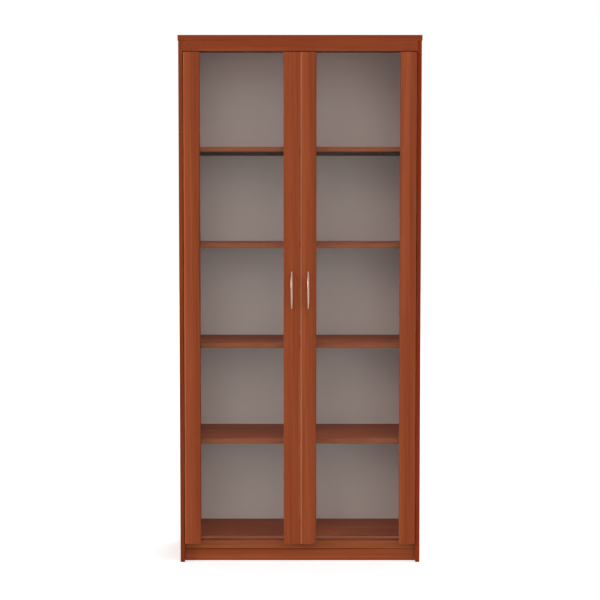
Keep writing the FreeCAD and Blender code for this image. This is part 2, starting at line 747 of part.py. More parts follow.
def hinge_cup(z):
    front = Vector(CUP_X, STILE_BACK - CUP_DEPTH, z)
    half = FLANGE_HEIGHT / 2
    rear = STILE_BACK + FLANGE_THICKNESS
    middle = (STILE_BACK + rear) / 2
    plain = box(CUP_X - CUP_RADIUS, CUP_X + CUP_RADIUS, STILE_BACK, rear, z - half, z + half)
    flange = softened(plain, FLANGE_CORNER, lambda c: same(c.y, middle))
    hollow = rod(front + BACKWARD * CUP_WALL, BACKWARD, CUP_RADIUS - CUP_WALL, CUP_DEPTH + OVERRUN)
    shell = joined(rod(front, BACKWARD, CUP_RADIUS, CUP_DEPTH), flange)
    pin_hole = rod(hinge_pin_start(z), UP, HINGE_PIN_RADIUS + RUNNING_CLEARANCE, HINGE_PIN_LENGTH)
    return shell.cut([hollow, pin_hole] + cup_screw_holes(z))


def hinge_pin_start(z):
    return Vector(PIVOT_X, PIVOT_Y, z - HINGE_PIN_LENGTH / 2)


def hinge_pin(z):
    return rod(hinge_pin_start(z), UP, HINGE_PIN_RADIUS, HINGE_PIN_LENGTH)


def cup_bore(z):
    start = Vector(CUP_X, STILE_BACK - CUP_DEPTH - FIT_CLEARANCE, z)
    return rod(start, BACKWARD, CUP_RADIUS + FIT_CLEARANCE, CUP_DEPTH + OVERRUN)


def cup_screw_places(z):
    x = CUP_X + CUP_SCREW_OFFSET
    half = CUP_SCREW_SPACING / 2
    return [Vector(x, STILE_BACK + FLANGE_THICKNESS, z + side) for side in (-half, half)]


def cup_screw_holes(z):
    return [screw_hole(place, FORWARD, CUP_SCREW_RADIUS, CUP_SCREW_LENGTH) for place in cup_screw_places(z)]


def cup_screws(z):
    sizes = (CUP_SCREW_RADIUS, CUP_SCREW_LENGTH, CUP_SCREW_HEAD_RADIUS, CUP_SCREW_HEAD_HEIGHT)
    return [screw(place, FORWARD, *sizes) for place in cup_screw_places(z)]


# The arm runs round the path that the inner corner of the hinge stile takes as the door opens
def arm_inner_radius():
    return math.hypot(PIVOT_INSET - DOOR_SIDE_GAP, PIVOT_IN_CUP) + ARM_SWING_CLEARANCE


def arm_bend(pivot):
    inner = arm_inner_radius()
    turn = RIGHT_ANGLE - ARM_LEG_ANGLE
    sector = Part.makeCylinder(inner + ARM_THICKNESS, ARM_HEIGHT, pivot, UP, turn)
    sector = sector.cut(rod(pivot, UP, inner, ARM_HEIGHT))
    sector.rotate(pivot, UP, ARM_LEG_ANGLE)
    return sector


def arm_leg(pivot):
    half = ARM_THICKNESS / 2
    length = arm_inner_radius() + half
    leg = box(pivot.x, pivot.x + length, pivot.y - half, pivot.y + half, pivot.z, pivot.z + ARM_HEIGHT)
    leg.rotate(pivot, UP, ARM_LEG_ANGLE)
    return leg


def hinge_arm(z):
    pivot = Vector(PIVOT_X, PIVOT_Y, z - ARM_HEIGHT / 2)
    z1 = z + ARM_HEIGHT / 2
    near = PIVOT_Y + arm_inner_radius()
    plate_face = INNER + PLATE_THICKNESS
    crossing = box(plate_face, PIVOT_X, near, near + ARM_THICKNESS, pivot.z, z1)
    bar = box(plate_face, plate_face + ARM_THICKNESS, near, FRONT + PLATE_FRONT + PLATE_LENGTH, pivot.z, z1)
    eye = rod(pivot, UP, ARM_EYE_RADIUS, ARM_HEIGHT)
    arm = joined(eye, arm_leg(pivot), arm_bend(pivot), crossing, bar)
    bore = rod(pivot, UP, HINGE_PIN_RADIUS + RUNNING_CLEARANCE, ARM_HEIGHT)
    return arm.cut([bore, arm_screw_hole(z)])


def hinge_plate(z):
    y0 = FRONT + PLATE_FRONT
    half = PLATE_HEIGHT / 2
    body = box(INNER, INNER + PLATE_THICKNESS, y0, y0 + PLATE_LENGTH, z - half, z + half)
    half = WING_HEIGHT / 2
    wing_y = plate_screw_y() - WING_LENGTH / 2
    wings = box(INNER, INNER + WING_THICKNESS, wing_y, wing_y + WING_LENGTH, z - half, z + half)
    return joined(body, wings).cut([arm_screw_hole(z)] + plate_screw_holes_at(z))


def plate_screw_y():
    return FRONT + PLATE_FRONT + PLATE_LENGTH / 2


def plate_screw_places(z):
    half = PLATE_SCREW_SPACING / 2
    return [Vector(INNER + WING_THICKNESS, plate_screw_y(), z + side) for side in (-half, half)]


def plate_screws(z):
    sizes = (PLATE_SCREW_RADIUS, PLATE_SCREW_LENGTH, PLATE_SCREW_HEAD_RADIUS, PLATE_SCREW_HEAD_HEIGHT)
    return [screw(place, LEFT, *sizes) for place in plate_screw_places(z)]


def plate_screw_holes_at(z):
    sizes = (PLATE_SCREW_RADIUS, PLATE_SCREW_LENGTH)
    return [screw_hole(place, LEFT, *sizes) for place in plate_screw_places(z)]


def plate_screw_holes():
    return [hole for z in hinge_heights() for hole in plate_screw_holes_at(z)]


def arm_screw_place(z):
    y = FRONT + PLATE_FRONT + ARM_SCREW_SHARE * PLATE_LENGTH
    return Vector(INNER + PLATE_THICKNESS + ARM_THICKNESS, y, z)


def arm_screw(z):
    sizes = (ARM_SCREW_RADIUS, ARM_SCREW_LENGTH, ARM_SCREW_HEAD_RADIUS, ARM_SCREW_HEAD_HEIGHT)
    return screw(arm_screw_place(z), LEFT, *sizes)


def arm_screw_hole(z):
    return rod(arm_screw_place(z), LEFT, ARM_SCREW_RADIUS + FIT_CLEARANCE, PLATE_THICKNESS + ARM_THICKNESS)


def at_each_hinge(make):
    return Part.makeCompound([make(z) for z in hinge_heights()])


def all_at_each_hinge(make):
    return Part.makeCompound([shape for z in hinge_heights() for shape in make(z)])


# Door stiles: flat back and sides, bowed front, each front edge with its own radius
def stile_blank(x0, left_radius, right_radius):
    x1 = x0 + STILE_WIDTH
    middle = x0 + STILE_WIDTH / 2
    outline = ((x0, DOOR_FRONT), (x0, STILE_BACK), (x1, STILE_BACK), (x1, DOOR_FRONT))
    corners = [Vector(x, y, DOOR_BOTTOM) for x, y in outline]
    sides = [line(corners[i], corners[i + 1]) for i in range(len(corners) - 1)]
    bow = arc(corners[-1], Vector(middle, DOOR_FRONT - STILE_BOW, DOOR_BOTTOM), corners[0])
    plain = extruded(sides + [bow], UP * (DOOR_TOP - DOOR_BOTTOM))
    eased = softened(plain, left_radius, lambda c: same(c.y, DOOR_FRONT) and same(c.x, x0))
    return softened(eased, right_radius, lambda c: same(c.y, DOOR_FRONT) and same(c.x, x1))


def glass_groove(x_edge, inwards):
    reach = sorted((x_edge + inwards * OVERRUN, x_edge - inwards * GROOVE_DEPTH))
    half = GROOVE_WIDTH / 2
    return box(*reach, GLASS_MIDDLE - half, GLASS_MIDDLE + half, DOOR_BOTTOM - OVERRUN, DOOR_TOP + OVERRUN)


def hinge_stile():
    cuts = [glass_groove(PANE_LEFT, 1), glass_peg_hole(PANE_LEFT, 1)]
    for z in hinge_heights():
        cuts += [cup_bore(z)] + cup_screw_holes(z)
    return stile_blank(DOOR_OUTER, STILE_HINGE_EDGE_RADIUS, STILE_GLASS_EDGE_RADIUS).cut(cuts)


def closing_stile_blank():
    return stile_blank(PANE_RIGHT, STILE_GLASS_EDGE_RADIUS, STILE_MEETING_EDGE_RADIUS)


def closing_stile():
    cuts = [glass_groove(PANE_RIGHT, -1), glass_peg_hole(PANE_RIGHT, -1)]
    cuts += [strike_screw_hole(z) for z in strike_heights()]
    return closing_stile_blank().cut(cuts + handle_screw_holes())


# Glass and what holds it
def door_glass():
    half = GLASS_THICKNESS / 2
    x0 = PANE_LEFT - GLASS_COVER
    x1 = PANE_RIGHT + GLASS_COVER
    return box(x0, x1, GLASS_MIDDLE - half, GLASS_MIDDLE + half, GLASS_BOTTOM, GLASS_TOP)


def glass_seal(x_edge, inwards):
    reach = sorted((x_edge, x_edge - inwards * GROOVE_DEPTH))
    half = GROOVE_WIDTH / 2
    strip = box(*reach, GLASS_MIDDLE - half, GLASS_MIDDLE + half, GLASS_BOTTOM, GLASS_TOP)
    return strip.cut(door_glass())


def door_glass_seals():
    return Part.makeCompound([glass_seal(PANE_LEFT, 1), glass_seal(PANE_RIGHT, -1)])


def door_glass_trim():
    half = GLASS_THICKNESS / 2 + TRIM_WALL
    low = GLASS_BOTTOM - TRIM_WALL
    strip = box(PANE_LEFT, PANE_RIGHT, GLASS_MIDDLE - half, GLASS_MIDDLE + half, low, low + TRIM_HEIGHT)
    return strip.cut(door_glass())


def glass_peg_start(x_edge, inwards):
    y = GLASS_MIDDLE - GROOVE_WIDTH / 2 - GLASS_PEG_GRIP
    return Vector(x_edge - inwards * GLASS_COVER / 2, y, GLASS_BOTTOM - GLASS_PEG_RADIUS)


def glass_peg_rod(x_edge, inwards, clearance):
    length = GROOVE_WIDTH + 2 * GLASS_PEG_GRIP
    return rod(glass_peg_start(x_edge, inwards), BACKWARD, GLASS_PEG_RADIUS + clearance, length)


def glass_peg(x_edge, inwards):
    return glass_peg_rod(x_edge, inwards, 0)


def glass_peg_hole(x_edge, inwards):
    return glass_peg_rod(x_edge, inwards, FIT_CLEARANCE)


def door_glass_pegs():
    return Part.makeCompound([glass_peg(PANE_LEFT, 1), glass_peg(PANE_RIGHT, -1)])


# Bow handle: an arch between two arcs, slimmer towards its ends, seated on the bowed stile
def handle_arch():
    seat = DOOR_FRONT - STILE_BOW + HANDLE_SEAT
    tip = FRONT - FRONT_REACH
    x0 = CLOSING_STILE_MIDDLE - HANDLE_WIDTH / 2
    half = HANDLE_LENGTH / 2
    inner = half - HANDLE_FOOT
    low, high = HANDLE_CENTRE_HEIGHT - half, HANDLE_CENTRE_HEIGHT + half
    inner_low, inner_high = HANDLE_CENTRE_HEIGHT - inner, HANDLE_CENTRE_HEIGHT + inner
    outer_arc = arc(Vector(x0, seat, low), Vector(x0, tip, HANDLE_CENTRE_HEIGHT), Vector(x0, seat, high))
    inner_tip = Vector(x0, tip + HANDLE_BAR, HANDLE_CENTRE_HEIGHT)
    inner_arc = arc(Vector(x0, seat, inner_low), inner_tip, Vector(x0, seat, inner_high))
    feet = [line(Vector(x0, seat, low), Vector(x0, seat, inner_low))]
    feet.append(line(Vector(x0, seat, inner_high), Vector(x0, seat, high)))
    return extruded([outer_arc, inner_arc] + feet, RIGHT * HANDLE_WIDTH)


def handle_outline():
    seat = DOOR_FRONT - STILE_BOW + HANDLE_SEAT
    low = HANDLE_CENTRE_HEIGHT - HANDLE_LENGTH / 2
    high = HANDLE_CENTRE_HEIGHT + HANDLE_LENGTH / 2
    end = HANDLE_END_WIDTH / 2
    wide = HANDLE_WIDTH / 2
    x = CLOSING_STILE_MIDDLE
    outline = [line(Vector(x - end, seat, z), Vector(x + end, seat, z)) for z in (low, high)]
    for side in (-1, 1):
        bulge = Vector(x + side * wide, seat, HANDLE_CENTRE_HEIGHT)
        outline.append(arc(Vector(x + side * end, seat, low), bulge, Vector(x + side * end, seat, high)))
    return extruded(outline, FORWARD * (HANDLE_PROJECTION + HANDLE_SEAT))


def door_handle():
    seat = DOOR_FRONT - STILE_BOW + HANDLE_SEAT
    plain = handle_arch().common(handle_outline())
    rounded = softened(plain, HANDLE_EDGE_RADIUS, lambda c: c.y < seat - HANDLE_SEAT)
    return rounded.cut([closing_stile_blank()] + handle_screw_holes())


# How far the outer arc stands off its seat, at a distance from the middle of the handle
def handle_rise(distance):
    half = HANDLE_LENGTH / 2
    rise = HANDLE_PROJECTION + HANDLE_SEAT
    radius = (half ** 2 + rise ** 2) / (2 * rise)
    return (radius ** 2 - distance ** 2) ** 0.5 - radius + rise


def handle_screw_offset():
    return HANDLE_LENGTH / 2 - HANDLE_FOOT * HANDLE_SCREW_FOOT_SHARE


def handle_screw_places():
    heights = (HANDLE_CENTRE_HEIGHT - handle_screw_offset(), HANDLE_CENTRE_HEIGHT + handle_screw_offset())
    return [Vector(CLOSING_STILE_MIDDLE, STILE_BACK, z) for z in heights]


def handle_screw_length():
    foot = handle_rise(handle_screw_offset() + HANDLE_SCREW_RADIUS) - HANDLE_SEAT
    return STILE_THICKNESS + STILE_BOW + foot * HANDLE_SCREW_BITE_SHARE


def handle_screw_holes():
    sizes = (HANDLE_SCREW_RADIUS, handle_screw_length())
    return [screw_hole(place, FORWARD, *sizes) for place in handle_screw_places()]


def door_handle_screws():
    sizes = (HANDLE_SCREW_RADIUS, handle_screw_length(), HANDLE_SCREW_HEAD_RADIUS, HANDLE_SCREW_HEAD_HEIGHT)
    return Part.makeCompound([screw(place, FORWARD, *sizes) for place in handle_screw_places()])


# Pieces that stand once in the middle, or that hold both halves
def carcass_pieces():
    pieces = {
        "top_panel": top_panel(),
        "top_fascia": top_fascia(),
        "bottom_panel": bottom_panel(),
        "plinth": plinth(),
        "back_joining_strip": back_joining_strip(),
        "back_panel_nails": back_panel_nails(),
        "shelf_pins": shelf_pins(),
        "floor_glides": floor_glides(),
        "dowels": dowels(),
        "cam_locks": cam_locks(),
        "cam_bolts": cam_bolts(),
        "wall_brackets": wall_brackets(),
        "wall_bracket_screws": wall_bracket_screws(),
        "top_catch": top_catch(),
        "bottom_catch": bottom_catch(),
        "catch_magnets": catch_magnets(),
        "catch_screws": catch_screws(),
    }
    for index in range(len(SHELF_TOP_SHARES)):
        pieces[f"shelf_{index + 1}"] = shelf(index)
    return pieces


# Pieces that come as a left and a right one, by the part of the name after the side
def left_pieces():
    return {
        "side_panel": side_panel(),
        "hinge_arms": at_each_hinge(hinge_arm),
        "hinge_plates": at_each_hinge(hinge_plate),
        "hinge_plate_screws": all_at_each_hinge(plate_screws),
        "hinge_arm_screws": at_each_hinge(arm_screw),
        "hinge_cups": at_each_hinge(hinge_cup),
        "hinge_pins": at_each_hinge(hinge_pin),
        "hinge_cup_screws": all_at_each_hinge(cup_screws),
        "door_hinge_stile": hinge_stile(),
        "door_closing_stile": closing_stile(),
        "door_glass": door_glass(),
        "door_glass_seals": door_glass_seals(),
        "door_glass_trim": door_glass_trim(),
        "door_glass_pegs": door_glass_pegs(),
        "door_handle": door_handle(),
        "door_handle_screws": door_handle_screws(),
        "strike_plates": strike_plates(),
        "strike_screws": strike_screws(),
    }


def all_pieces():
    pieces = carcass_pieces()
    half_back = back_panel()
    pieces["back_panel_left"] = half_back
    pieces["back_panel_right"] = mirrored(half_back)
    for name, shape in left_pieces().items():
        pieces[f"left_{name}"] = shape
        pieces[f"right_{name}"] = mirrored(shape)
    return pieces


os.makedirs("parts", exist_ok=True)
for node, solid in all_pieces().items():
    solid.exportStep(f"parts/{node}.step")
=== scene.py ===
"""The looks of a tall bookcase with glass doors: boards, panes, fittings, and the studio they stand in.

Lengths are in metres and angles in radians. The tone of a band is a factor on the colour of its board.
"""

import logging
import math
from abc import ABC, abstractmethod
from dataclasses import dataclass
from enum import Enum

import bmesh
import bpy
from mathutils import Matrix, Vector

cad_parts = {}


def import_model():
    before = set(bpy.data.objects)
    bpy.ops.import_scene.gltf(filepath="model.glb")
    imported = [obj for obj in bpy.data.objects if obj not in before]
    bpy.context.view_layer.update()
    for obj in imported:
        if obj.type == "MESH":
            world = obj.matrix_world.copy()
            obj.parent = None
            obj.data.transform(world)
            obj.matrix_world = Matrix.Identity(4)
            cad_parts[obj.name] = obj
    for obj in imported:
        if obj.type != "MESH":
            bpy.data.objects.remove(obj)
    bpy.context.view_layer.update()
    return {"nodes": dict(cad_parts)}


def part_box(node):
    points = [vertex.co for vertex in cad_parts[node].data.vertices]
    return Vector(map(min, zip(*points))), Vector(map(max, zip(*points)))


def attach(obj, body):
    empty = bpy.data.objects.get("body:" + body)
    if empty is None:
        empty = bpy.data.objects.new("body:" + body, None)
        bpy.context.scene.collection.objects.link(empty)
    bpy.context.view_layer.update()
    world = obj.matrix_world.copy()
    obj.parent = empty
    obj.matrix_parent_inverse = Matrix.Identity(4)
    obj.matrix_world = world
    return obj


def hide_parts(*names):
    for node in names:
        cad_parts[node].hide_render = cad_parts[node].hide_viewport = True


LOG = logging.getLogger("bookcase")
CARCASS = "carcass"

Span = tuple[float, float]
Triple = tuple[float, float, float]
Nodes = dict[str, bpy.types.Object]
Socket = bpy.types.NodeSocket
Sockets = dict[str, Socket]
# What a socket is given: a value, or the socket that it is linked to.
Feed = float | tuple[float, ...] | Socket

RISING: Span = (0.0, 1.0)
FALLING: Span = (1.0, 0.0)
WHITE: Triple = (1.0, 1.0, 1.0)
NOISE_MIDDLE: Triple = (0.5, 0.5, 0.5)
NOISE_ROUGHNESS = 0.55

# Points closer than this are one point, in metres.
MERGE_REACH = 0.000001
# Points farther out than this share of a screw head's radius lie on its rim.
RIM_SHARE = 0.9
# Faces are sorted along this slanting line, because extrusions leave them in another order each run.
SORT_LINE: Triple = (0.61, 0.29, 0.73)

# The colour sockets of a Mix node, by place.
MIX_SHARE, MIX_FIRST, MIX_SECOND = 0, 6, 7
MIX_RESULT = 2


class SocketKind(Enum):
    """What a socket of a shared effect carries."""

    VECTOR = "NodeSocketVector"
    COLOUR = "NodeSocketColor"
    VALUE = "NodeSocketFloat"


class GrainRun(Enum):
    """The way that the grain of a board runs, as the turn that lays it along Z."""

    UPRIGHT = (0.0, 0.0, 0.0)
    SIDEWAYS = (0.0, math.pi / 2, 0.0)


class Axis(Enum):
    """An axis of the shared frame, by its place in a vector."""

    X = 0
    Y = 1
    Z = 2


class Side(Enum):
    """A side of the bookcase, as seen from the front."""

    LEFT = "left"
    RIGHT = "right"


class Operation(Enum):
    """What is done with two numbers or two vectors."""

    ADD = "ADD"
    SUBTRACT = "SUBTRACT"
    MULTIPLY = "MULTIPLY"
    MAXIMUM = "MAXIMUM"


class Blend(Enum):
    """How one colour goes over another."""

    COVER = "MIX"
    TONE = "MULTIPLY"


@dataclass(frozen=True)
class Wiring:
    """Adds nodes to one node tree and joins their sockets."""

    tree: bpy.types.NodeTree

    def add(
        self, kind: str, inputs: dict[str | int, Feed] | None = None, **settings: object
    ) -> bpy.types.Node:
        """Add one node.

        Args:
            kind: The node's type name.
            inputs: Values or sockets for its inputs, by name or place.
            **settings: Properties of the node itself.

        Returns:
            The new node.
        """
        node = self.tree.nodes.new(kind)
        for name, value in settings.items():
            setattr(node, name, value)
        for key, value in (inputs or {}).items():
            if isinstance(value, Socket):
                self.tree.links.new(value, node.inputs[key])
            else:
                node.inputs[key].default_value = value
        return node

    def math(self, operation: Operation, first: Feed, second: Feed) -> Socket:
        """Work out one number.

        Args:
            operation: What is done with the two.
            first: The first value or socket.
            second: The second value or socket.

        Returns:
            The socket with the result.
        """
        return self.add("ShaderNodeMath", {0: first, 1: second}, operation=operation.value).outputs[0]

    def vector(self, operation: Operation, first: Feed, second: Feed) -> Socket:
        """Work out one vector.

        Args:
            operation: What is done with the two, axis by axis.
            first: The first vector or socket.
            second: The second vector or socket.

        Returns:
            The socket with the result.
        """
        return self.add("ShaderNodeVectorMath", {0: first, 1: second}, operation=operation.value).outputs[0]

    def noise(self, place: Socket, rate: Triple, detail: float) -> bpy.types.Node:
        """Add a noise that is drawn out by axis.

        Args:
            place: The socket with the place on the piece.
            rate: How often the noise changes in a metre, along each axis.
            detail: How many finer layers the noise has.

        Returns:
            The noise node.
        """
        return self.add("ShaderNodeTexNoise", {
            "Vector": self.vector(Operation.MULTIPLY, place, rate),
            "Scale": 1.0,
            "Detail": detail,
            "Roughness": NOISE_ROUGHNESS,
        })

    def ramp(self, value: Feed, start: Span, end: Span = RISING) -> Socket:
        """Map a number from one range to another, and hold it there.

        Args:
            value: The number or socket.
            start: The range that it comes from.
            end: The range that it goes to.

        Returns:
            The socket with the mapped number.
        """
        inputs = {
            "Value": value,
            "From Min": start[0],
            "From Max": start[1],
            "To Min": end[0],
            "To Max": end[1],
        }
        return self.add("ShaderNodeMapRange", inputs, clamp=True).outputs[0]

    def blended(self, share: Feed, first: Feed, second: Feed, blend: Blend = Blend.COVER) -> Socket:
        """Put one colour over another.

        Args:
            share: How much of the second colour shows.
            first: The first colour or socket.
            second: The second colour or socket.
            blend: How the second goes over the first.

        Returns:
            The socket with the mixed colour.
        """
        inputs = {MIX_SHARE: share, MIX_FIRST: first, MIX_SECOND: second}
        node = self.add("ShaderNodeMix", inputs, data_type="RGBA", blend_type=blend.value)
        return node.outputs[MIX_RESULT]

    def bumped(self, height: Feed, depth: float) -> Socket:
        """Turn a height into a normal.

        Args:
            height: The height, from 0 to 1.
            depth: How deep the relief is, in metres.

        Returns:
            The socket with the normal.
        """
        return self.add("ShaderNodeBump", {"Height": height, "Distance": depth, "Strength": 1.0}).outputs[0]

    def seen_mask(self) -> Socket:
        """Mark the rays that show a surface to the eye, straight or by way of metal and glass.

        Returns:
            A socket that is 1 for such rays.
        """
        path = self.add("ShaderNodeLightPath").outputs
        mirrored = self.math(Operation.MAXIMUM, path["Is Glossy Ray"], path["Is Transmission Ray"])
        return self.math(Operation.MAXIMUM, path["Is Camera Ray"], mirrored)


def fresh_wiring(holder: bpy.types.Material | bpy.types.World) -> Wiring:
    """Empty the node tree of a material or a world, to be wired anew.

    Args:
        holder: What the tree belongs to.

    Returns:
        What adds nodes to the tree.
    """
    holder.use_nodes = True
    holder.node_tree.nodes.clear()
    return Wiring(holder.node_tree)


def set_in_scene(name: str, data: bpy.types.ID) -> bpy.types.Object:
    """Put a mesh, a lamp or a camera into the scene.

    Args:
        name: The name of the object.
        data: What the object holds.

    Returns:
        The new object.
    """
    made = bpy.data.objects.new(name, data)
    bpy.context.scene.collection.objects.link(made)
    return made


def colour(parts: Triple) -> tuple[float, float, float, float]:
    """Give a colour socket's four numbers.

    Args:
        parts: The red, green and blue part.

    Returns:
        The three parts, fully opaque.
    """
    return (*parts, 1.0)


def two_tones(place: Socket, light: Triple, dark: Triple) -> dict[str, Feed]:
    """Give what a shared effect with two tones takes.

    Args:
        place: The socket with the place on the piece.
        light: The lighter tone.
        dark: The darker tone.

    Returns:
        The values by input.
    """
    return {"Vector": place, "Light": colour(light), "Dark": colour(dark)}


@dataclass(frozen=True)
class SharedEffect(ABC):
    """A shader node group that is built once and placed in each finish with its own values."""

    @property
    @abstractmethod
    def name(self) -> str:
        """The name of the node group."""

    @property
    @abstractmethod
    def takes(self) -> dict[str, SocketKind]:
        """The inputs of the group."""

    @property
    @abstractmethod
    def gives(self) -> dict[str, SocketKind]:
        """The outputs of the group."""

    @abstractmethod
    def wire(self, wiring: Wiring, taken: Sockets) -> Sockets:
        """Wire the inside of the group.

        Args:
            wiring: Adds nodes to the group's tree.
            taken: The group's inputs.

        Returns:
            A socket for each of the group's outputs.
        """

    def group(self) -> bpy.types.NodeTree:
        """Build the node group, or find it where it is built already.

        Returns:
            The node group.
        """
        found = bpy.data.node_groups.get(self.name)
        if found:
            return found
        tree = bpy.data.node_groups.new(self.name, "ShaderNodeTree")
        for name, kind in self.takes.items():
            tree.interface.new_socket(name, in_out="INPUT", socket_type=kind.value)
        for name, kind in self.gives.items():
            tree.interface.new_socket(name, in_out="OUTPUT", socket_type=kind.value)
        wiring = Wiring(tree)
        taken = wiring.add("NodeGroupInput").outputs
        made = self.wire(wiring, {name: taken[name] for name in self.takes})
        wiring.add("NodeGroupOutput", dict(made))
        return tree

    def place(self, wiring: Wiring, values: dict[str, Feed]) -> Sockets:
        """Put the group into a material.

        Args:
            wiring: Adds nodes to the material's tree.
            values: Values or sockets for the group's inputs.

        Returns:
            The group's outputs by name.
        """
        node = wiring.add("ShaderNodeGroup", values, node_tree=self.group())
        return {name: node.outputs[name] for name in self.gives}


TWO_TONES = {"Vector": SocketKind.VECTOR, "Light": SocketKind.COLOUR, "Dark": SocketKind.COLOUR}


@dataclass(frozen=True)
class DrawnGrain(SharedEffect):
    """Wood grain drawn out along Z: slow bands, streaks that sway a little, and fine dark pores."""

    sway_rate: Triple = (5.0, 5.0, 1.1)
    sway_detail: float = 1.0
    sway_reach: Triple = (0.016, 0.016, 0.0)
    band_rate: Triple = (26.0, 26.0, 0.5)
    band_detail: float = 2.0
    band_share: float = 0.55
    streak_rate: Triple = (120.0, 120.0, 1.6)
    streak_detail: float = 4.0
    streak_share: float = 0.45
    tone_span: Span = (0.36, 0.64)
    pore_rate: Triple = (620.0, 620.0, 11.0)
    pore_detail: float = 2.0
    pore_span: Span = (0.56, 0.72)

    @property
    def name(self) -> str:
        """The name of the node group."""
        return "drawn_grain"

    @property
    def takes(self) -> dict[str, SocketKind]:
        """The place on the board, the three tones and the strength of the pores."""
        return {**TWO_TONES, "Pore": SocketKind.COLOUR, "Pores": SocketKind.VALUE}

    @property
    def gives(self) -> dict[str, SocketKind]:
        """The colour, a mask of the streaks and the height of the pores."""
        return {"Color": SocketKind.COLOUR, "Streaks": SocketKind.VALUE, "Height": SocketKind.VALUE}

    def wire(self, wiring: Wiring, taken: Sockets) -> Sockets:
        """Wire the grain.

        Args:
            wiring: Adds nodes to the group's tree.
            taken: The group's inputs.

        Returns:
            The group's outputs.
        """
        sway = wiring.noise(taken["Vector"], self.sway_rate, self.sway_detail).outputs["Color"]
        centred = wiring.vector(Operation.SUBTRACT, sway, NOISE_MIDDLE)
        shift = wiring.vector(Operation.MULTIPLY, centred, self.sway_reach)
        place = wiring.vector(Operation.ADD, taken["Vector"], shift)
        bands = wiring.noise(place, self.band_rate, self.band_detail).outputs[0]
        streaks = wiring.noise(place, self.streak_rate, self.streak_detail).outputs[0]
        pores = wiring.noise(place, self.pore_rate, self.pore_detail).outputs[0]
        banded = wiring.math(Operation.MULTIPLY, bands, self.band_share)
        streaked = wiring.math(Operation.MULTIPLY, streaks, self.streak_share)
        tone = wiring.ramp(wiring.math(Operation.ADD, banded, streaked), self.tone_span)
        pore = wiring.ramp(pores, self.pore_span)
        shown = wiring.math(Operation.MULTIPLY, pore, taken["Pores"])
        plain = wiring.blended(tone, taken["Dark"], taken["Light"])
        return {
            "Color": wiring.blended(shown, plain, taken["Pore"]),
            "Streaks": tone,
            "Height": wiring.math(Operation.SUBTRACT, 1.0, pore),
        }


@dataclass(frozen=True)
class StripMask(SharedEffect):
    """A mask of what lies between two places on one axis, such as painted shade along a board's front edge.
    """

    softness: float = 0.0005

    @property
    def name(self) -> str:
        """The name of the node group."""
        return "strip_mask"

    @property
    def takes(self) -> dict[str, SocketKind]:
        """The place along the axis, and where the strip starts and ends."""
        return {name: SocketKind.VALUE for name in ("Place", "Start", "End")}

    @property
    def gives(self) -> dict[str, SocketKind]:
        """The mask, which is 1 on the strip."""
        return {"Mask": SocketKind.VALUE}

    def wire(self, wiring: Wiring, taken: Sockets) -> Sockets:
        """Wire the mask.

        Args:
            wiring: Adds nodes to the group's tree.
            taken: The group's inputs.

        Returns:
            The group's outputs.
        """
        edge = (-self.softness, self.softness)
        from_start = wiring.math(Operation.SUBTRACT, taken["Place"], taken["Start"])
        from_end = wiring.math(Operation.SUBTRACT, taken["Place"], taken["End"])
        past_start = wiring.ramp(from_start, edge)
        before_end = wiring.ramp(from_end, edge, FALLING)
        return {"Mask": wiring.math(Operation.MULTIPLY, past_start, before_end)}


@dataclass(frozen=True)
class FineMottle(SharedEffect):
    """Soft cloudy tone with a fine grain over it, as on lacquer, moulded plastic and cast metal."""

    cloud_rate: Triple = (9.0, 9.0, 9.0)
    cloud_detail: float = 3.0
    cloud_share: float = 0.7
    speck_rate: Triple = (900.0, 900.0, 900.0)
    speck_detail: float = 1.0
    speck_share: float = 0.3
    tone_span: Span = (0.35, 0.65)

    @property
    def name(self) -> str:
        """The name of the node group."""
        return "fine_mottle"

    @property
    def takes(self) -> dict[str, SocketKind]:
        """The place on the piece and its two tones."""
        return TWO_TONES

    @property
    def gives(self) -> dict[str, SocketKind]:
        """The colour, a mask of the clouds and the height of the fine grain."""
        return {"Color": SocketKind.COLOUR, "Clouds": SocketKind.VALUE, "Height": SocketKind.VALUE}

    def wire(self, wiring: Wiring, taken: Sockets) -> Sockets:
        """Wire the mottle.

        Args:
            wiring: Adds nodes to the group's tree.
            taken: The group's inputs.

        Returns:
            The group's outputs.
        """
        clouds = wiring.noise(taken["Vector"], self.cloud_rate, self.cloud_detail).outputs[0]
        specks = wiring.noise(taken["Vector"], self.speck_rate, self.speck_detail).outputs[0]
        clouded = wiring.math(Operation.MULTIPLY, clouds, self.cloud_share)
        specked = wiring.math(Operation.MULTIPLY, specks, self.speck_share)
        tone = wiring.ramp(wiring.math(Operation.ADD, clouded, specked), self.tone_span)
        shown = wiring.blended(tone, taken["Dark"], taken["Light"])
        return {"Color": shown, "Clouds": tone, "Height": specks}


@dataclass(frozen=True)
class BrushedLines(SharedEffect):
    """Fine lines drawn along Z, as brushing leaves on metal."""

    line_rate: Triple = (2600.0, 2600.0, 24.0)
    line_detail: float = 2.0
    tone_span: Span = (0.35, 0.65)

    @property
    def name(self) -> str:
        """The name of the node group."""
        return "brushed_lines"

    @property
    def takes(self) -> dict[str, SocketKind]:
        """The place on the piece and its two tones."""
        return TWO_TONES

    @property
    def gives(self) -> dict[str, SocketKind]:
        """The colour, a mask of the lines and their height."""
        return {"Color": SocketKind.COLOUR, "Lines": SocketKind.VALUE, "Height": SocketKind.VALUE}

    def wire(self, wiring: Wiring, taken: Sockets) -> Sockets:
        """Wire the lines.

        Args:
            wiring: Adds nodes to the group's tree.
            taken: The group's inputs.

        Returns:
            The group's outputs.
        """
        lines = wiring.noise(taken["Vector"], self.line_rate, self.line_detail).outputs[0]
        tone = wiring.ramp(lines, self.tone_span)
        shown = wiring.blended(tone, taken["Dark"], taken["Light"])
        return {"Color": shown, "Lines": tone, "Height": lines}


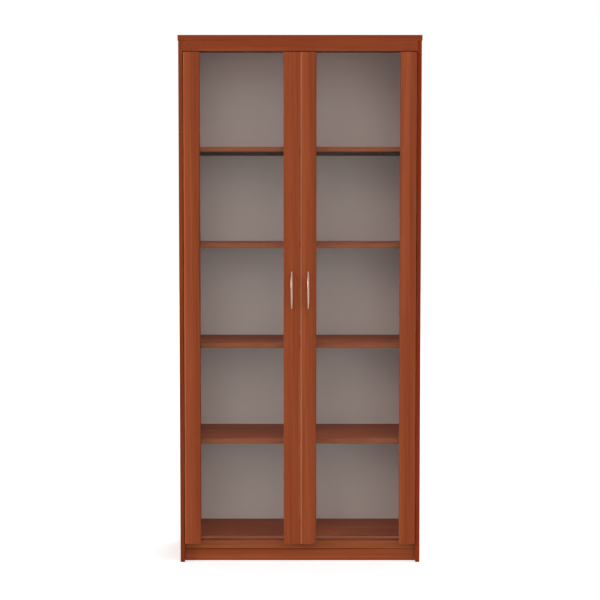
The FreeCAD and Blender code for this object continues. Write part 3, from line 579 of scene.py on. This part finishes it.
GRAIN = DrawnGrain()
STRIP = StripMask()
MOTTLE = FineMottle()
BRUSHED = BrushedLines()


@dataclass(frozen=True)
class Finish(ABC):
    """The finish of one kind of surface, as a material that is made once."""

    name: str

    @abstractmethod
    def wire(self, wiring: Wiring, place: Socket) -> Socket:
        """Wire the material.

        Args:
            wiring: Adds nodes to the material's tree.
            place: The place on the piece, in the shared frame.

        Returns:
            The shader socket for the output.
        """

    def material(self) -> bpy.types.Material:
        """Make the material, or find it where it is made already.

        Returns:
            The material.
        """
        title = f"{self.name}_finish"
        found = bpy.data.materials.get(title)
        if found:
            return found
        material = bpy.data.materials.new(title)
        wiring = fresh_wiring(material)
        place = wiring.add("ShaderNodeTexCoord").outputs["Object"]
        wiring.add("ShaderNodeOutputMaterial", {"Surface": self.wire(wiring, place)})
        return material


@dataclass(frozen=True)
class EdgeBand:
    """A strip from one place on an axis to another, toned against the rest of the board as painted light or
    shade.
    """

    axis: Axis
    start: float
    end: float
    tone: Triple


@dataclass(frozen=True)
class WoodFinish(Finish):
    """Satin red-brown wood grain, with bands of painted light or shade along the board's edges where it has
    them.
    """

    run: GrainRun
    light: Triple = (0.305, 0.0715, 0.0262)
    dark: Triple = (0.214, 0.042, 0.0126)
    pore: Triple = (0.120, 0.019, 0.005)
    pores: float = 0.35
    bands: tuple[EdgeBand, ...] = ()
    shine: float = 0.12
    glare: Triple = (0.45, 0.38, 0.34)
    gloss: Span = (0.46, 0.36)
    relief: float = 0.00004

    def wire(self, wiring: Wiring, place: Socket) -> Socket:
        """Wire the wood.

        Args:
            wiring: Adds nodes to the material's tree.
            place: The place on the piece, in the shared frame.

        Returns:
            The shader socket for the output.
        """
        laid = wiring.add("ShaderNodeMapping", {"Vector": place, "Rotation": self.run.value}).outputs[0]
        tones = two_tones(laid, self.light, self.dark)
        grain = GRAIN.place(wiring, {**tones, "Pore": colour(self.pore), "Pores": self.pores})
        shown = grain["Color"]
        along = wiring.add("ShaderNodeSeparateXYZ", {0: place}).outputs
        for band in self.bands:
            ends = {"Place": along[band.axis.value], "Start": band.start, "End": band.end}
            mask = STRIP.place(wiring, ends)["Mask"]
            shown = wiring.blended(mask, shown, colour(band.tone), Blend.TONE)
        shader = wiring.add("ShaderNodeBsdfPrincipled", {
            "Base Color": shown,
            "Roughness": wiring.ramp(grain["Streaks"], RISING, self.gloss),
            "Specular IOR Level": self.shine,
            "Specular Tint": colour(self.glare),
            "Normal": wiring.bumped(grain["Height"], self.relief),
        })
        return shader.outputs[0]


@dataclass(frozen=True)
class PaintedLightWoodFinish(WoodFinish):
    """The same wood, paler and duller: painted light on the boards that things stand on."""

    light: Triple = (0.495, 0.111, 0.0385)
    dark: Triple = (0.347, 0.0660, 0.0185)
    shine: float = 0.05
    gloss: Span = (0.62, 0.52)


@dataclass(frozen=True)
class MottledFinish(Finish):
    """Lacquer, moulded plastic, rubber or cast metal with a fine grain."""

    light: Triple
    dark: Triple
    gloss: Span = (0.55, 0.45)
    shine: float = 0.3
    metal: float = 0.0
    relief: float = 0.00003

    def wire(self, wiring: Wiring, place: Socket) -> Socket:
        """Wire the mottled surface.

        Args:
            wiring: Adds nodes to the material's tree.
            place: The place on the piece, in the shared frame.

        Returns:
            The shader socket for the output.
        """
        mottle = MOTTLE.place(wiring, two_tones(place, self.light, self.dark))
        shader = wiring.add("ShaderNodeBsdfPrincipled", {
            "Base Color": mottle["Color"],
            "Roughness": wiring.ramp(mottle["Clouds"], RISING, self.gloss),
            "Specular IOR Level": self.shine,
            "Metallic": self.metal,
            "Normal": wiring.bumped(mottle["Height"], self.relief),
        })
        return shader.outputs[0]


@dataclass(frozen=True)
class BrushedFinish(Finish):
    """Plated metal with fine lines along Z."""

    light: Triple
    dark: Triple
    gloss: Span = (0.34, 0.24)
    relief: float = 0.00001

    def wire(self, wiring: Wiring, place: Socket) -> Socket:
        """Wire the brushed metal.

        Args:
            wiring: Adds nodes to the material's tree.
            place: The place on the piece, in the shared frame.

        Returns:
            The shader socket for the output.
        """
        lines = BRUSHED.place(wiring, two_tones(place, self.light, self.dark))
        shader = wiring.add("ShaderNodeBsdfPrincipled", {
            "Base Color": lines["Color"],
            "Roughness": wiring.ramp(lines["Lines"], RISING, self.gloss),
            "Metallic": 1.0,
            "Normal": wiring.bumped(lines["Height"], self.relief),
        })
        return shader.outputs[0]


@dataclass(frozen=True)
class PaneFinish(Finish):
    """Clear float glass that lets the light of the room through, greener along its free upper edge."""

    top: float
    rim: Triple = (0.30, 0.52, 0.43)
    rim_reach: float = 0.0015
    clear: Triple = (0.955, 0.975, 0.965)
    clouded: Triple = (0.935, 0.955, 0.945)
    veil: Triple = (0.15, 0.15, 0.15)
    bend: float = 1.45

    def wire(self, wiring: Wiring, place: Socket) -> Socket:
        """Wire the glass.

        Args:
            wiring: Adds nodes to the material's tree.
            place: The place on the piece, in the shared frame.

        Returns:
            The shader socket for the output.
        """
        mottle = MOTTLE.place(wiring, two_tones(place, self.clear, self.clouded))
        height = wiring.add("ShaderNodeSeparateXYZ", {0: place}).outputs[Axis.Z.value]
        ends = {"Place": height, "Start": self.top - self.rim_reach, "End": self.top + self.rim_reach}
        edge = STRIP.place(wiring, ends)["Mask"]
        glass = wiring.add("ShaderNodeBsdfPrincipled", {
            "Base Color": wiring.blended(edge, mottle["Color"], colour(self.rim)),
            "Roughness": 0.0,
            "IOR": self.bend,
            "Specular Tint": colour(self.veil),
            "Transmission Weight": 1.0,
        })
        through = wiring.add("ShaderNodeBsdfTransparent", {"Color": colour(self.clear)})
        path = wiring.add("ShaderNodeLightPath").outputs
        unseen = wiring.math(Operation.MAXIMUM, path["Is Shadow Ray"], path["Is Diffuse Ray"])
        inputs = {0: unseen, 1: glass.outputs[0], 2: through.outputs[0]}
        return wiring.add("ShaderNodeMixShader", inputs).outputs[0]


@dataclass(frozen=True)
class FloorFinish(Finish):
    """Pale studio floor that reads as white where no shadow falls."""

    tone: Triple = (0.78, 0.78, 0.78)
    lift: float = 0.50

    def wire(self, wiring: Wiring, place: Socket) -> Socket:
        """Wire the floor.

        Args:
            wiring: Adds nodes to the material's tree.
            place: The place on the floor, which is not used.

        Returns:
            The shader socket for the output.
        """
        plain = wiring.add("ShaderNodeBsdfDiffuse", {"Color": colour(self.tone)})
        lifted = wiring.math(Operation.MULTIPLY, wiring.seen_mask(), self.lift)
        glow = wiring.add("ShaderNodeEmission", {"Strength": lifted})
        return wiring.add("ShaderNodeAddShader", {0: plain.outputs[0], 1: glow.outputs[0]}).outputs[0]


BACK_BOARD = MottledFinish(
    "back_board", light=(0.765, 0.655, 0.625), dark=(0.745, 0.635, 0.605), gloss=(0.62, 0.5), shine=0.2
)
BACK_STRIP = MottledFinish(
    "back_strip", light=(0.70, 0.595, 0.565), dark=(0.66, 0.56, 0.53), gloss=(0.5, 0.4)
)
GLASS_TRIM = MottledFinish(
    "glass_trim", light=(0.190, 0.058, 0.033), dark=(0.162, 0.050, 0.027), gloss=(0.45, 0.36)
)
SEAL = MottledFinish(
    "glass_seal", light=(0.05, 0.026, 0.02), dark=(0.035, 0.02, 0.016), gloss=(0.7, 0.6)
)
# The handles' base colour is partly the metal and partly a painted reflection of the red-brown wood around
# them, which gives it its warm tint.
NICKEL_WITH_PAINTED_REFLECTION = BrushedFinish("satin_nickel_painted_reflection", light=(0.57, 0.39, 0.30), dark=(0.44, 0.29, 0.215))
HINGE_STEEL = BrushedFinish(
    "hinge_steel", light=(0.70, 0.70, 0.69), dark=(0.58, 0.58, 0.575), gloss=(0.26, 0.18)
)
FASTENER = BrushedFinish(
    "zinc_plate", light=(0.66, 0.65, 0.62), dark=(0.52, 0.51, 0.49), gloss=(0.36, 0.26)
)
CAST_ZINC = MottledFinish(
    "cast_zinc", light=(0.54, 0.54, 0.54), dark=(0.42, 0.42, 0.42), gloss=(0.5, 0.38), shine=0.5, metal=1.0
)
DOWEL_WOOD = WoodFinish(
    "raw_beech",
    GrainRun.SIDEWAYS,
    light=(0.62, 0.44, 0.27),
    dark=(0.52, 0.35, 0.2),
    pore=(0.36, 0.22, 0.12),
    gloss=(0.7, 0.6),
)
CATCH_PLASTIC = MottledFinish(
    "catch_plastic", light=(0.085, 0.034, 0.02), dark=(0.06, 0.024, 0.014), gloss=(0.5, 0.42)
)
MAGNET = MottledFinish(
    "magnet", light=(0.07, 0.07, 0.072), dark=(0.045, 0.045, 0.047), gloss=(0.6, 0.45)
)
GLIDE_PLASTIC = MottledFinish(
    "glide_plastic", light=(0.016, 0.015, 0.015), dark=(0.009, 0.009, 0.009), gloss=(0.55, 0.42)
)


@dataclass(frozen=True)
class PlainScrew:
    """Where one plain CAD screw sits and how large it is."""

    seat: Vector
    outward: Vector
    head_radius: float
    head_height: float
    shank_radius: float
    shank_length: float


def islands(mesh: bpy.types.Mesh) -> list[list[Vector]]:
    """Part a mesh into its separate solids.

    Args:
        mesh: The mesh, which is left as it is.

    Returns:
        The points of each solid.
    """
    merged = bmesh.new()
    merged.from_mesh(mesh)
    bmesh.ops.remove_doubles(merged, verts=merged.verts, dist=MERGE_REACH)
    found: list[list[Vector]] = []
    seen: set[bmesh.types.BMVert] = set()
    for first in merged.verts:
        waiting = [] if first in seen else [first]
        seen.add(first)
        points: list[Vector] = []
        while waiting:
            vertex = waiting.pop()
            points.append(vertex.co.copy())
            joined = [edge.other_vert(vertex) for edge in vertex.link_edges]
            waiting += [other for other in joined if other not in seen]
            seen.update(joined)
        if points:
            found.append(points)
    merged.free()
    return found


def drawn_out(
    solid: bmesh.types.BMesh, loop: list[bmesh.types.BMEdge], radius: float, height: float
) -> list[bmesh.types.BMEdge]:
    """Extrude a ring of edges to a new radius and height.

    Args:
        solid: The mesh.
        loop: The edges of the ring, centred on Z.
        radius: The new ring's radius.
        height: The new ring's height.

    Returns:
        The edges of the new ring.
    """
    made = bmesh.ops.extrude_edge_only(solid, edges=loop)["geom"]
    ring = [part for part in made if isinstance(part, bmesh.types.BMVert)]
    old = ring[0].co.copy()
    growth = radius / math.hypot(old.x, old.y)
    bmesh.ops.scale(solid, verts=ring, vec=(growth, growth, 1.0))
    bmesh.ops.translate(solid, verts=ring, vec=(0.0, 0.0, height - old.z))
    rows = [part for part in made if isinstance(part, bmesh.types.BMEdge)]
    return [edge for edge in rows if edge.verts[0] in ring and edge.verts[1] in ring]


@dataclass
class CrossheadScrews:
    """Domed screws with a cross recess, in place of the plain screws of one CAD node.

    Where no axis is given, each screw lies along its own longest side. The dome is given ring by ring, as
    shares of the head's radius and height.
    """

    node: str
    body: str
    axis: Axis | None = None
    turns: int = 12
    cross_cells: int = 3
    cross_share: float = 0.50
    cross_depth: float = 0.62
    cross_taper: float = 0.70
    dome: tuple[Span, ...] = (
        (0.66, 1.0),
        (0.84, 0.93),
        (0.95, 0.76),
        (1.0, 0.50),
        (1.0, 0.06),
        (0.96, 0.0),
    )
    tip_share: float = 0.16
    tip_length: float = 1.6
    crease: float = math.radians(40.0)

    def build(self, nodes: Nodes) -> bpy.types.Object:
        """Model the screws where the plain ones sit.

        Args:
            nodes: The CAD nodes by name.

        Returns:
            The new piece.
        """
        solid = bmesh.new()
        for points in islands(nodes[self.node].data):
            self.add_screw(solid, self.measured(points))
        bmesh.ops.recalc_face_normals(solid, faces=list(solid.faces))
        solid.faces.sort(key=lambda face: face.calc_center_median().dot(SORT_LINE))
        mesh = bpy.data.meshes.new(f"{self.node}_crosshead")
        solid.to_mesh(mesh)
        solid.free()
        mesh.shade_smooth()
        mesh.set_sharp_from_angle(angle=self.crease)
        mesh.materials.append(FASTENER.material())
        piece = set_in_scene(mesh.name, mesh)
        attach(piece, self.body)
        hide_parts(self.node)
        return piece

    def measured(self, points: list[Vector]) -> PlainScrew:
        """Measure one plain screw along its axis.

        Args:
            points: The points of the screw.

        Returns:
            Its place and size.
        """
        low = Vector(min(point[axis.value] for point in points) for axis in Axis)
        high = Vector(max(point[axis.value] for point in points) for axis in Axis)
        middle = (low + high) / 2
        reach = (high - low) / 2
        lies = self.axis or max(Axis, key=lambda axis: reach[axis.value])
        deep = reach[lies.value]
        wide = max(reach[axis.value] for axis in Axis if axis is not lies)
        outward = Vector((0.0, 0.0, 0.0))
        outward[lies.value] = 1.0
        heights = [(point - middle).dot(outward) for point in points]
        widths = [(point - middle - outward * height).length for point, height in zip(points, heights)]
        rims = [height for height, width in zip(heights, widths) if width > wide * RIM_SHARE]
        facing = math.copysign(1.0, sum(rims))
        seat = min(height * facing for height in rims)
        shank = max(width for height, width in zip(heights, widths) if height * facing < seat - MERGE_REACH)
        outward *= facing
        return PlainScrew(
            seat=middle + outward * seat,
            outward=outward,
            head_radius=wide,
            head_height=deep - seat,
            shank_radius=shank,
            shank_length=deep + seat,
        )

    def add_screw(self, solid: bmesh.types.BMesh, plain: PlainScrew) -> None:
        """Add one screw, turned about Z at the origin and then put in its place.

        Args:
            solid: The mesh that it goes into.
            plain: The plain screw that it stands for.
        """
        before = set(solid.verts)
        loop = self.cut_cross(solid, plain)
        for share, height in self.dome[1:]:
            loop = drawn_out(solid, loop, plain.head_radius * share, plain.head_height * height)
        end = -plain.shank_length
        shoulder = min(0.0, end + plain.shank_radius * self.tip_length)
        for radius, height in ((1.0, 0.0), (1.0, shoulder), (self.tip_share, end)):
            loop = drawn_out(solid, loop, plain.shank_radius * radius, height)
        bmesh.ops.contextual_create(solid, geom=loop)
        turned = plain.outward.to_track_quat("Z", "Y").to_matrix().to_4x4()
        made = [vertex for vertex in solid.verts if vertex not in before]
        bmesh.ops.transform(solid, matrix=Matrix.Translation(plain.seat) @ turned, verts=made)

    def cut_cross(self, solid: bmesh.types.BMesh, plain: PlainScrew) -> list[bmesh.types.BMEdge]:
        """Make the flat of the head with its cross recess.

        Args:
            solid: The mesh that it goes into.
            plain: The plain screw that it stands for.

        Returns:
            The edges round the flat.
        """
        half = plain.head_radius * self.cross_share
        lift = Matrix.Translation((0.0, 0.0, plain.head_height))
        cells = self.cross_cells
        grid = bmesh.ops.create_grid(solid, x_segments=cells, y_segments=cells, size=half, matrix=lift)
        faces = list(dict.fromkeys(face for vertex in grid["verts"] for face in vertex.link_faces))
        middles = {face: face.calc_center_median() for face in faces}
        corners = [face for face in faces if min(abs(middles[face].x), abs(middles[face].y)) > half / cells]
        cross = [face for face in faces if face not in corners]
        bmesh.ops.delete(solid, geom=corners, context="FACES")
        inner = [edge for face in cross for edge in face.edges if edge.is_boundary]
        radius = plain.head_radius * self.dome[0][0]
        ring = bmesh.ops.create_circle(solid, segments=self.turns, radius=radius, matrix=lift)["verts"]
        outer = list(dict.fromkeys(edge for vertex in ring for edge in vertex.link_edges))
        bmesh.ops.bridge_loops(solid, edges=inner + outer)
        sunk = bmesh.ops.extrude_face_region(solid, geom=cross)["geom"]
        floor = [part for part in sunk if isinstance(part, bmesh.types.BMVert)]
        bmesh.ops.scale(solid, verts=floor, vec=(self.cross_taper, self.cross_taper, 1.0))
        bmesh.ops.translate(solid, verts=floor, vec=(0.0, 0.0, -plain.head_height * self.cross_depth))
        bmesh.ops.delete(solid, geom=cross, context="FACES")
        return outer


class Assembly(ABC):
    """A group of pieces that are dressed together."""

    @abstractmethod
    def finishes(self) -> dict[str, Finish]:
        """Give the finish of each CAD node of the group.

        Returns:
            The finishes by node.
        """

    def screws(self) -> list[CrossheadScrews]:
        """Give the sets of screws in the group, which are none unless it says otherwise."""
        return []

    def build(self, nodes: Nodes) -> list[bpy.types.Object]:
        """Model the group's own meshes.

        Args:
            nodes: The CAD nodes by name.

        Returns:
            The new pieces.
        """
        return [screws.build(nodes) for screws in self.screws()]

    def dress(self, nodes: Nodes) -> None:
        """Give each CAD node of the group its finish.

        Args:
            nodes: The CAD nodes by name.
        """
        for node, finish in self.finishes().items():
            slots = nodes[node].data.materials
            slots.clear()
            slots.append(finish.material())
            LOG.info("dressed %s in %s", node, finish.name)


def band_at(axis: Axis, place: float, reach: float, tone: Triple) -> EdgeBand:
    """Band a board along one of its edges.

    Args:
        axis: The axis that the band is measured on.
        place: Where the edge is.
        reach: How far the band goes from it.
        tone: The band's tone against the board.

    Returns:
        The band.
    """
    return EdgeBand(axis, place - reach, place + reach, tone)


def front_band(node: str, reach: float, tone: Triple) -> EdgeBand:
    """Band the front edge of a board.

    Args:
        node: The board's node.
        reach: How far back the band goes.
        tone: The band's tone against the board.

    Returns:
        The band.
    """
    return band_at(Axis.Y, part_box(node)[0].y, reach, tone)


@dataclass
class Case(Assembly):
    """The boards of the case, with painted light and shade at their edges and joints, and the glides under
    them.
    """

    # The front bands are painted shade on the boards' front faces. On the right side panel the band is a
    # painted shadow of the right door, which stands proud of the case.
    band_reach: float = 0.0011
    left_front_painted_shade: Triple = (0.82, 0.69, 0.48)
    right_front_painted_shadow: Triple = (0.86, 0.47, 0.28)
    top_front_painted_shade: Triple = (0.83, 0.68, 0.55)
    # Painted shade along the upper front edge of the top.
    arris_reach: float = 0.003
    arris_painted_shade: Triple = (0.80, 0.64, 0.52)
    # Painted light on both sides of the joint of the top and the fascia, which takes out the shade in the
    # groove between them.
    joint_reach: float = 0.0022
    joint_painted_light: Triple = (1.42, 1.50, 1.60)
    # Painted shade under the fascia.
    under_reach: float = 0.0005
    under_painted_shade: Triple = (0.40, 0.38, 0.36)
    # Painted shadow along the top of the plinth, where the bottom panel stands over it.
    seam_reach: float = 0.0026
    seam_painted_shadow: Triple = (0.56, 0.44, 0.26)
    fascia_front_painted_shade: Triple = (0.88, 0.82, 0.80)
    # The bottom panel's front face, toned back down from the painted light of its paler board.
    bottom_tone: Triple = (0.70, 0.93, 1.10)

    def top_wood(self) -> WoodFinish:
        """Make the top's finish: painted shade on its front and upper edge, painted light on its lower
        edge.

        Returns:
            The finish.
        """
        low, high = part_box("top_panel")
        arris = band_at(Axis.Z, high.z, self.arris_reach, self.arris_painted_shade)
        joint = band_at(Axis.Z, low.z, self.joint_reach, self.joint_painted_light)
        bands = (front_band("top_panel", self.band_reach, self.top_front_painted_shade), arris, joint)
        return WoodFinish("top_wood", GrainRun.SIDEWAYS, bands=bands)

    def fascia_wood(self) -> WoodFinish:
        """Make the fascia's finish: painted shade on its front and underneath, painted light on its upper
        edge.

        Returns:
            The finish.
        """
        low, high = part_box("top_fascia")
        joint = band_at(Axis.Z, high.z, self.joint_reach, self.joint_painted_light)
        under = band_at(Axis.Z, low.z, self.under_reach, self.under_painted_shade)
        bands = (front_band("top_fascia", self.band_reach, self.fascia_front_painted_shade), joint, under)
        return WoodFinish("fascia_wood", GrainRun.SIDEWAYS, bands=bands)

    def plinth_wood(self) -> WoodFinish:
        """Make the plinth's finish, with a painted shadow along its top, under the bottom panel.

        Returns:
            The finish.
        """
        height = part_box("plinth")[1].z
        seam_shadow = band_at(Axis.Z, height, self.seam_reach, self.seam_painted_shadow)
        return WoodFinish("plinth_wood", GrainRun.SIDEWAYS, bands=(seam_shadow,))

    def finishes(self) -> dict[str, Finish]:
        """Give the finish of each board.

        Returns:
            The finishes by node.
        """
        # Front bands of painted shade, with a painted shadow on the right side panel.
        left = front_band("left_side_panel", self.band_reach, self.left_front_painted_shade)
        right = front_band("right_side_panel", self.band_reach, self.right_front_painted_shadow)
        bottom = front_band("bottom_panel", self.band_reach, self.bottom_tone)
        return {
            "left_side_panel": WoodFinish("left_side_wood", GrainRun.UPRIGHT, bands=(left,)),
            "right_side_panel": WoodFinish("right_side_wood", GrainRun.UPRIGHT, bands=(right,)),
            "top_panel": self.top_wood(),
            "top_fascia": self.fascia_wood(),
            # The paler board of the bottom panel is painted light on its upper face.
            "bottom_panel": PaintedLightWoodFinish("bottom_wood", GrainRun.SIDEWAYS, bands=(bottom,)),
            "plinth": self.plinth_wood(),
            "floor_glides": GLIDE_PLASTIC,
        }


@dataclass
class Interior(Assembly):
    """The shelves, the back and what holds them."""

    shelves: int = 4
    band_reach: float = 0.0011
    # The front edges of the shelves, toned back down from the painted light of the paler board.
    edge_tone: Triple = (0.59, 0.76, 0.95)
    # Painted shade on the undersides of the shelves.
    underside_shade_reach: float = 0.0005
    underside_painted_shade: Triple = (0.14, 0.16, 0.19)

    def shelf_wood(self, node: str) -> PaintedLightWoodFinish:
        """Make a shelf's finish: painted light on the board, toned back at its front edge, and painted
        shade below.

        Args:
            node: The shelf's node.

        Returns:
            The finish.
        """
        edge = front_band(node, self.band_reach, self.edge_tone)
        underside_shade = band_at(Axis.Z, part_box(node)[0].z, self.underside_shade_reach, self.underside_painted_shade)
        return PaintedLightWoodFinish(f"{node}_wood", GrainRun.SIDEWAYS, bands=(edge, underside_shade))

    def finishes(self) -> dict[str, Finish]:
        """Give the finish of each piece inside the case.

        Returns:
            The finishes by node.
        """
        names = [f"shelf_{number}" for number in range(1, self.shelves + 1)]
        boards: dict[str, Finish] = {name: self.shelf_wood(name) for name in names}
        return boards | {
            "shelf_pins": FASTENER,
            "back_panel_left": BACK_BOARD,
            "back_panel_right": BACK_BOARD,
            "back_joining_strip": BACK_STRIP,
            "back_panel_nails": FASTENER,
        }


@dataclass
class Fittings(Assembly):
    """The hidden fittings of the case: dowels, cams, wall brackets and catches."""

    def finishes(self) -> dict[str, Finish]:
        """Give the finish of each fitting.

        Returns:
            The finishes by node.
        """
        return {
            "dowels": DOWEL_WOOD,
            "cam_locks": CAST_ZINC,
            "cam_bolts": FASTENER,
            "wall_brackets": HINGE_STEEL,
            "top_catch": CATCH_PLASTIC,
            "bottom_catch": CATCH_PLASTIC,
            "catch_magnets": MAGNET,
        }

    def screws(self) -> list[CrossheadScrews]:
        """Give the screws of the wall brackets and of the two catches."""
        return [CrossheadScrews(node, CARCASS) for node in ("wall_bracket_screws", "catch_screws")]


@dataclass
class Door(Assembly):
    """One glass door with its stiles, pane, handle and the hinges it hangs on."""

    side: Side
    meeting_reach: float
    hinge_reach: float
    # A painted highlight along the closing stile's meeting edge, and painted light along the hinge stile's
    # outer edge, which takes out the shade in the gap beside the case.
    meeting_painted_highlight: Triple = (1.40, 1.78, 2.10)
    hinge_painted_light: Triple = (1.40, 1.42, 1.45)

    def named(self, piece: str) -> str:
        """Give the full name of a piece on this door's side."""
        return f"{self.side.value}_{piece}"

    def hinge_wood(self) -> WoodFinish:
        """Make the finish of the hinge stile, with painted light along its outer edge.

        Returns:
            The finish.
        """
        low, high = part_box(self.named("door_hinge_stile"))
        edge = max(low.x, high.x, key=abs)
        band = band_at(Axis.X, edge, self.hinge_reach, self.hinge_painted_light)
        return WoodFinish(self.named("hinge_wood"), GrainRun.UPRIGHT, bands=(band,))

    def closing_wood(self) -> WoodFinish:
        """Make the finish of the closing stile, with a painted highlight along its meeting edge.

        Returns:
            The finish.
        """
        low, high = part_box(self.named("door_closing_stile"))
        edge = min(low.x, high.x, key=abs)
        band = band_at(Axis.X, edge, self.meeting_reach, self.meeting_painted_highlight)
        return WoodFinish(self.named("closing_wood"), GrainRun.UPRIGHT, bands=(band,))

    def finishes(self) -> dict[str, Finish]:
        """Give the finish of each piece of the door and its hinges.

        Returns:
            The finishes by node.
        """
        pane_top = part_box(self.named("door_glass"))[1].z
        finish_by_piece: dict[str, Finish] = {
            "door_hinge_stile": self.hinge_wood(),
            "door_closing_stile": self.closing_wood(),
            "door_glass": PaneFinish("pane_glass", pane_top),
            "door_glass_seals": SEAL,
            "door_glass_trim": GLASS_TRIM,
            "door_glass_pegs": FASTENER,
            "door_handle": NICKEL_WITH_PAINTED_REFLECTION,
            "strike_plates": FASTENER,
            "hinge_cups": HINGE_STEEL,
            "hinge_pins": FASTENER,
            "hinge_arms": HINGE_STEEL,
            "hinge_plates": HINGE_STEEL,
        }
        return {self.named(piece): finish for piece, finish in finish_by_piece.items()}

    def screws(self) -> list[CrossheadScrews]:
        """Give the screws of the door and of its hinges."""
        door = self.named("door")
        return [
            CrossheadScrews(self.named("hinge_cup_screws"), door),
            CrossheadScrews(self.named("door_handle_screws"), door),
            CrossheadScrews(self.named("strike_screws"), door),
            CrossheadScrews(self.named("hinge_plate_screws"), CARCASS),
            CrossheadScrews(self.named("hinge_arm_screws"), CARCASS, Axis.X),
        ]


# Each side gets its own width of painted light: the light comes from the left, so the right door's meeting
# edge and the left door's hinge edge get the wider bands.
LEFT_DOOR = Door(Side.LEFT, meeting_reach=0.0028, hinge_reach=0.0055)
RIGHT_DOOR = Door(Side.RIGHT, meeting_reach=0.0070, hinge_reach=0.0010)


@dataclass
class Lamp:
    """A large, soft and distant lamp that shines from one direction."""

    name: str
    stands: Triple
    spread: float
    strength: float
    mirrored: bool = True

    def build(self) -> None:
        """Hang the lamp."""
        data = bpy.data.lights.new(self.name, "SUN")
        data.angle = self.spread
        data.energy = self.strength
        lamp = set_in_scene(self.name, data)
        lamp.location = self.stands
        lamp.visible_glossy = self.mirrored
        lamp.rotation_euler = (-Vector(self.stands)).to_track_quat("-Z", "Y").to_euler()


@dataclass
class Studio:
    """Pale floor, white surround, soft lamps and the camera."""

    floor_radius: float = 16.0
    floor_sides: int = 96
    ambient: float = 0.34
    backdrop: float = 1.0
    camera_place: Triple = (0.0, -4.7826, 1.3116)
    lens: float = 74.478
    camera_shift: float = -0.0391
    camera_tilt: float = math.radians(2.9)
    lamps: tuple[Lamp, ...] = (
        Lamp("key", stands=(3.3, -7.6, 4.2), spread=1.60, strength=1.77, mirrored=False),
        Lamp("side", stands=(-8.2, -3.4, 2.6), spread=0.40, strength=1.50),
        Lamp("rear", stands=(4.0, 6.5, 4.5), spread=0.60, strength=1.2),
    )

    def build(self) -> None:
        """Set up the whole studio."""
        self.build_floor()
        self.build_surround()
        for lamp in self.lamps:
            lamp.build()
        self.build_camera()
        bpy.context.scene.view_settings.view_transform = "Standard"

    def build_floor(self) -> None:
        """Lay the floor as a wide disc."""
        mesh = bpy.data.meshes.new("floor")
        disc = bmesh.new()
        bmesh.ops.create_circle(disc, cap_ends=True, segments=self.floor_sides, radius=self.floor_radius)
        disc.to_mesh(mesh)
        disc.free()
        mesh.materials.append(FloorFinish("studio_floor").material())
        floor = set_in_scene("floor", mesh)

    def build_surround(self) -> None:
        """Make the surround white to the eye and softer as a light."""
        world = bpy.data.worlds.new("surround")
        wiring = fresh_wiring(world)
        light = wiring.add("ShaderNodeBackground", {"Color": colour(WHITE), "Strength": self.ambient})
        shown = wiring.add("ShaderNodeBackground", {"Color": colour(WHITE), "Strength": self.backdrop})
        inputs = {0: wiring.seen_mask(), 1: light.outputs[0], 2: shown.outputs[0]}
        mixed = wiring.add("ShaderNodeMixShader", inputs)
        wiring.add("ShaderNodeOutputWorld", {"Surface": mixed.outputs[0]})
        bpy.context.scene.world = world

    def build_camera(self) -> None:
        """Set the camera in front of the doors, above the middle and tilted a little down."""
        data = bpy.data.cameras.new("camera")
        data.lens = self.lens
        data.shift_y = self.camera_shift
        camera = set_in_scene("camera", data)
        camera.location = self.camera_place
        camera.rotation_euler = (math.pi / 2 - self.camera_tilt, 0.0, 0.0)
        bpy.context.scene.camera = camera


def main() -> None:
    """Load the frame, dress every assembly and set up the studio."""
    logging.basicConfig(level=logging.INFO, format="%(message)s")
    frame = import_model()
    nodes: Nodes = frame["nodes"]
    assemblies: list[Assembly] = [Case(), Interior(), Fittings(), LEFT_DOOR, RIGHT_DOOR]
    for assembly in assemblies:
        for piece in assembly.build(nodes):
            LOG.info("built %s", piece.name)
        assembly.dress(nodes)
    Studio().build()


if __name__ == "__main__":
    main()
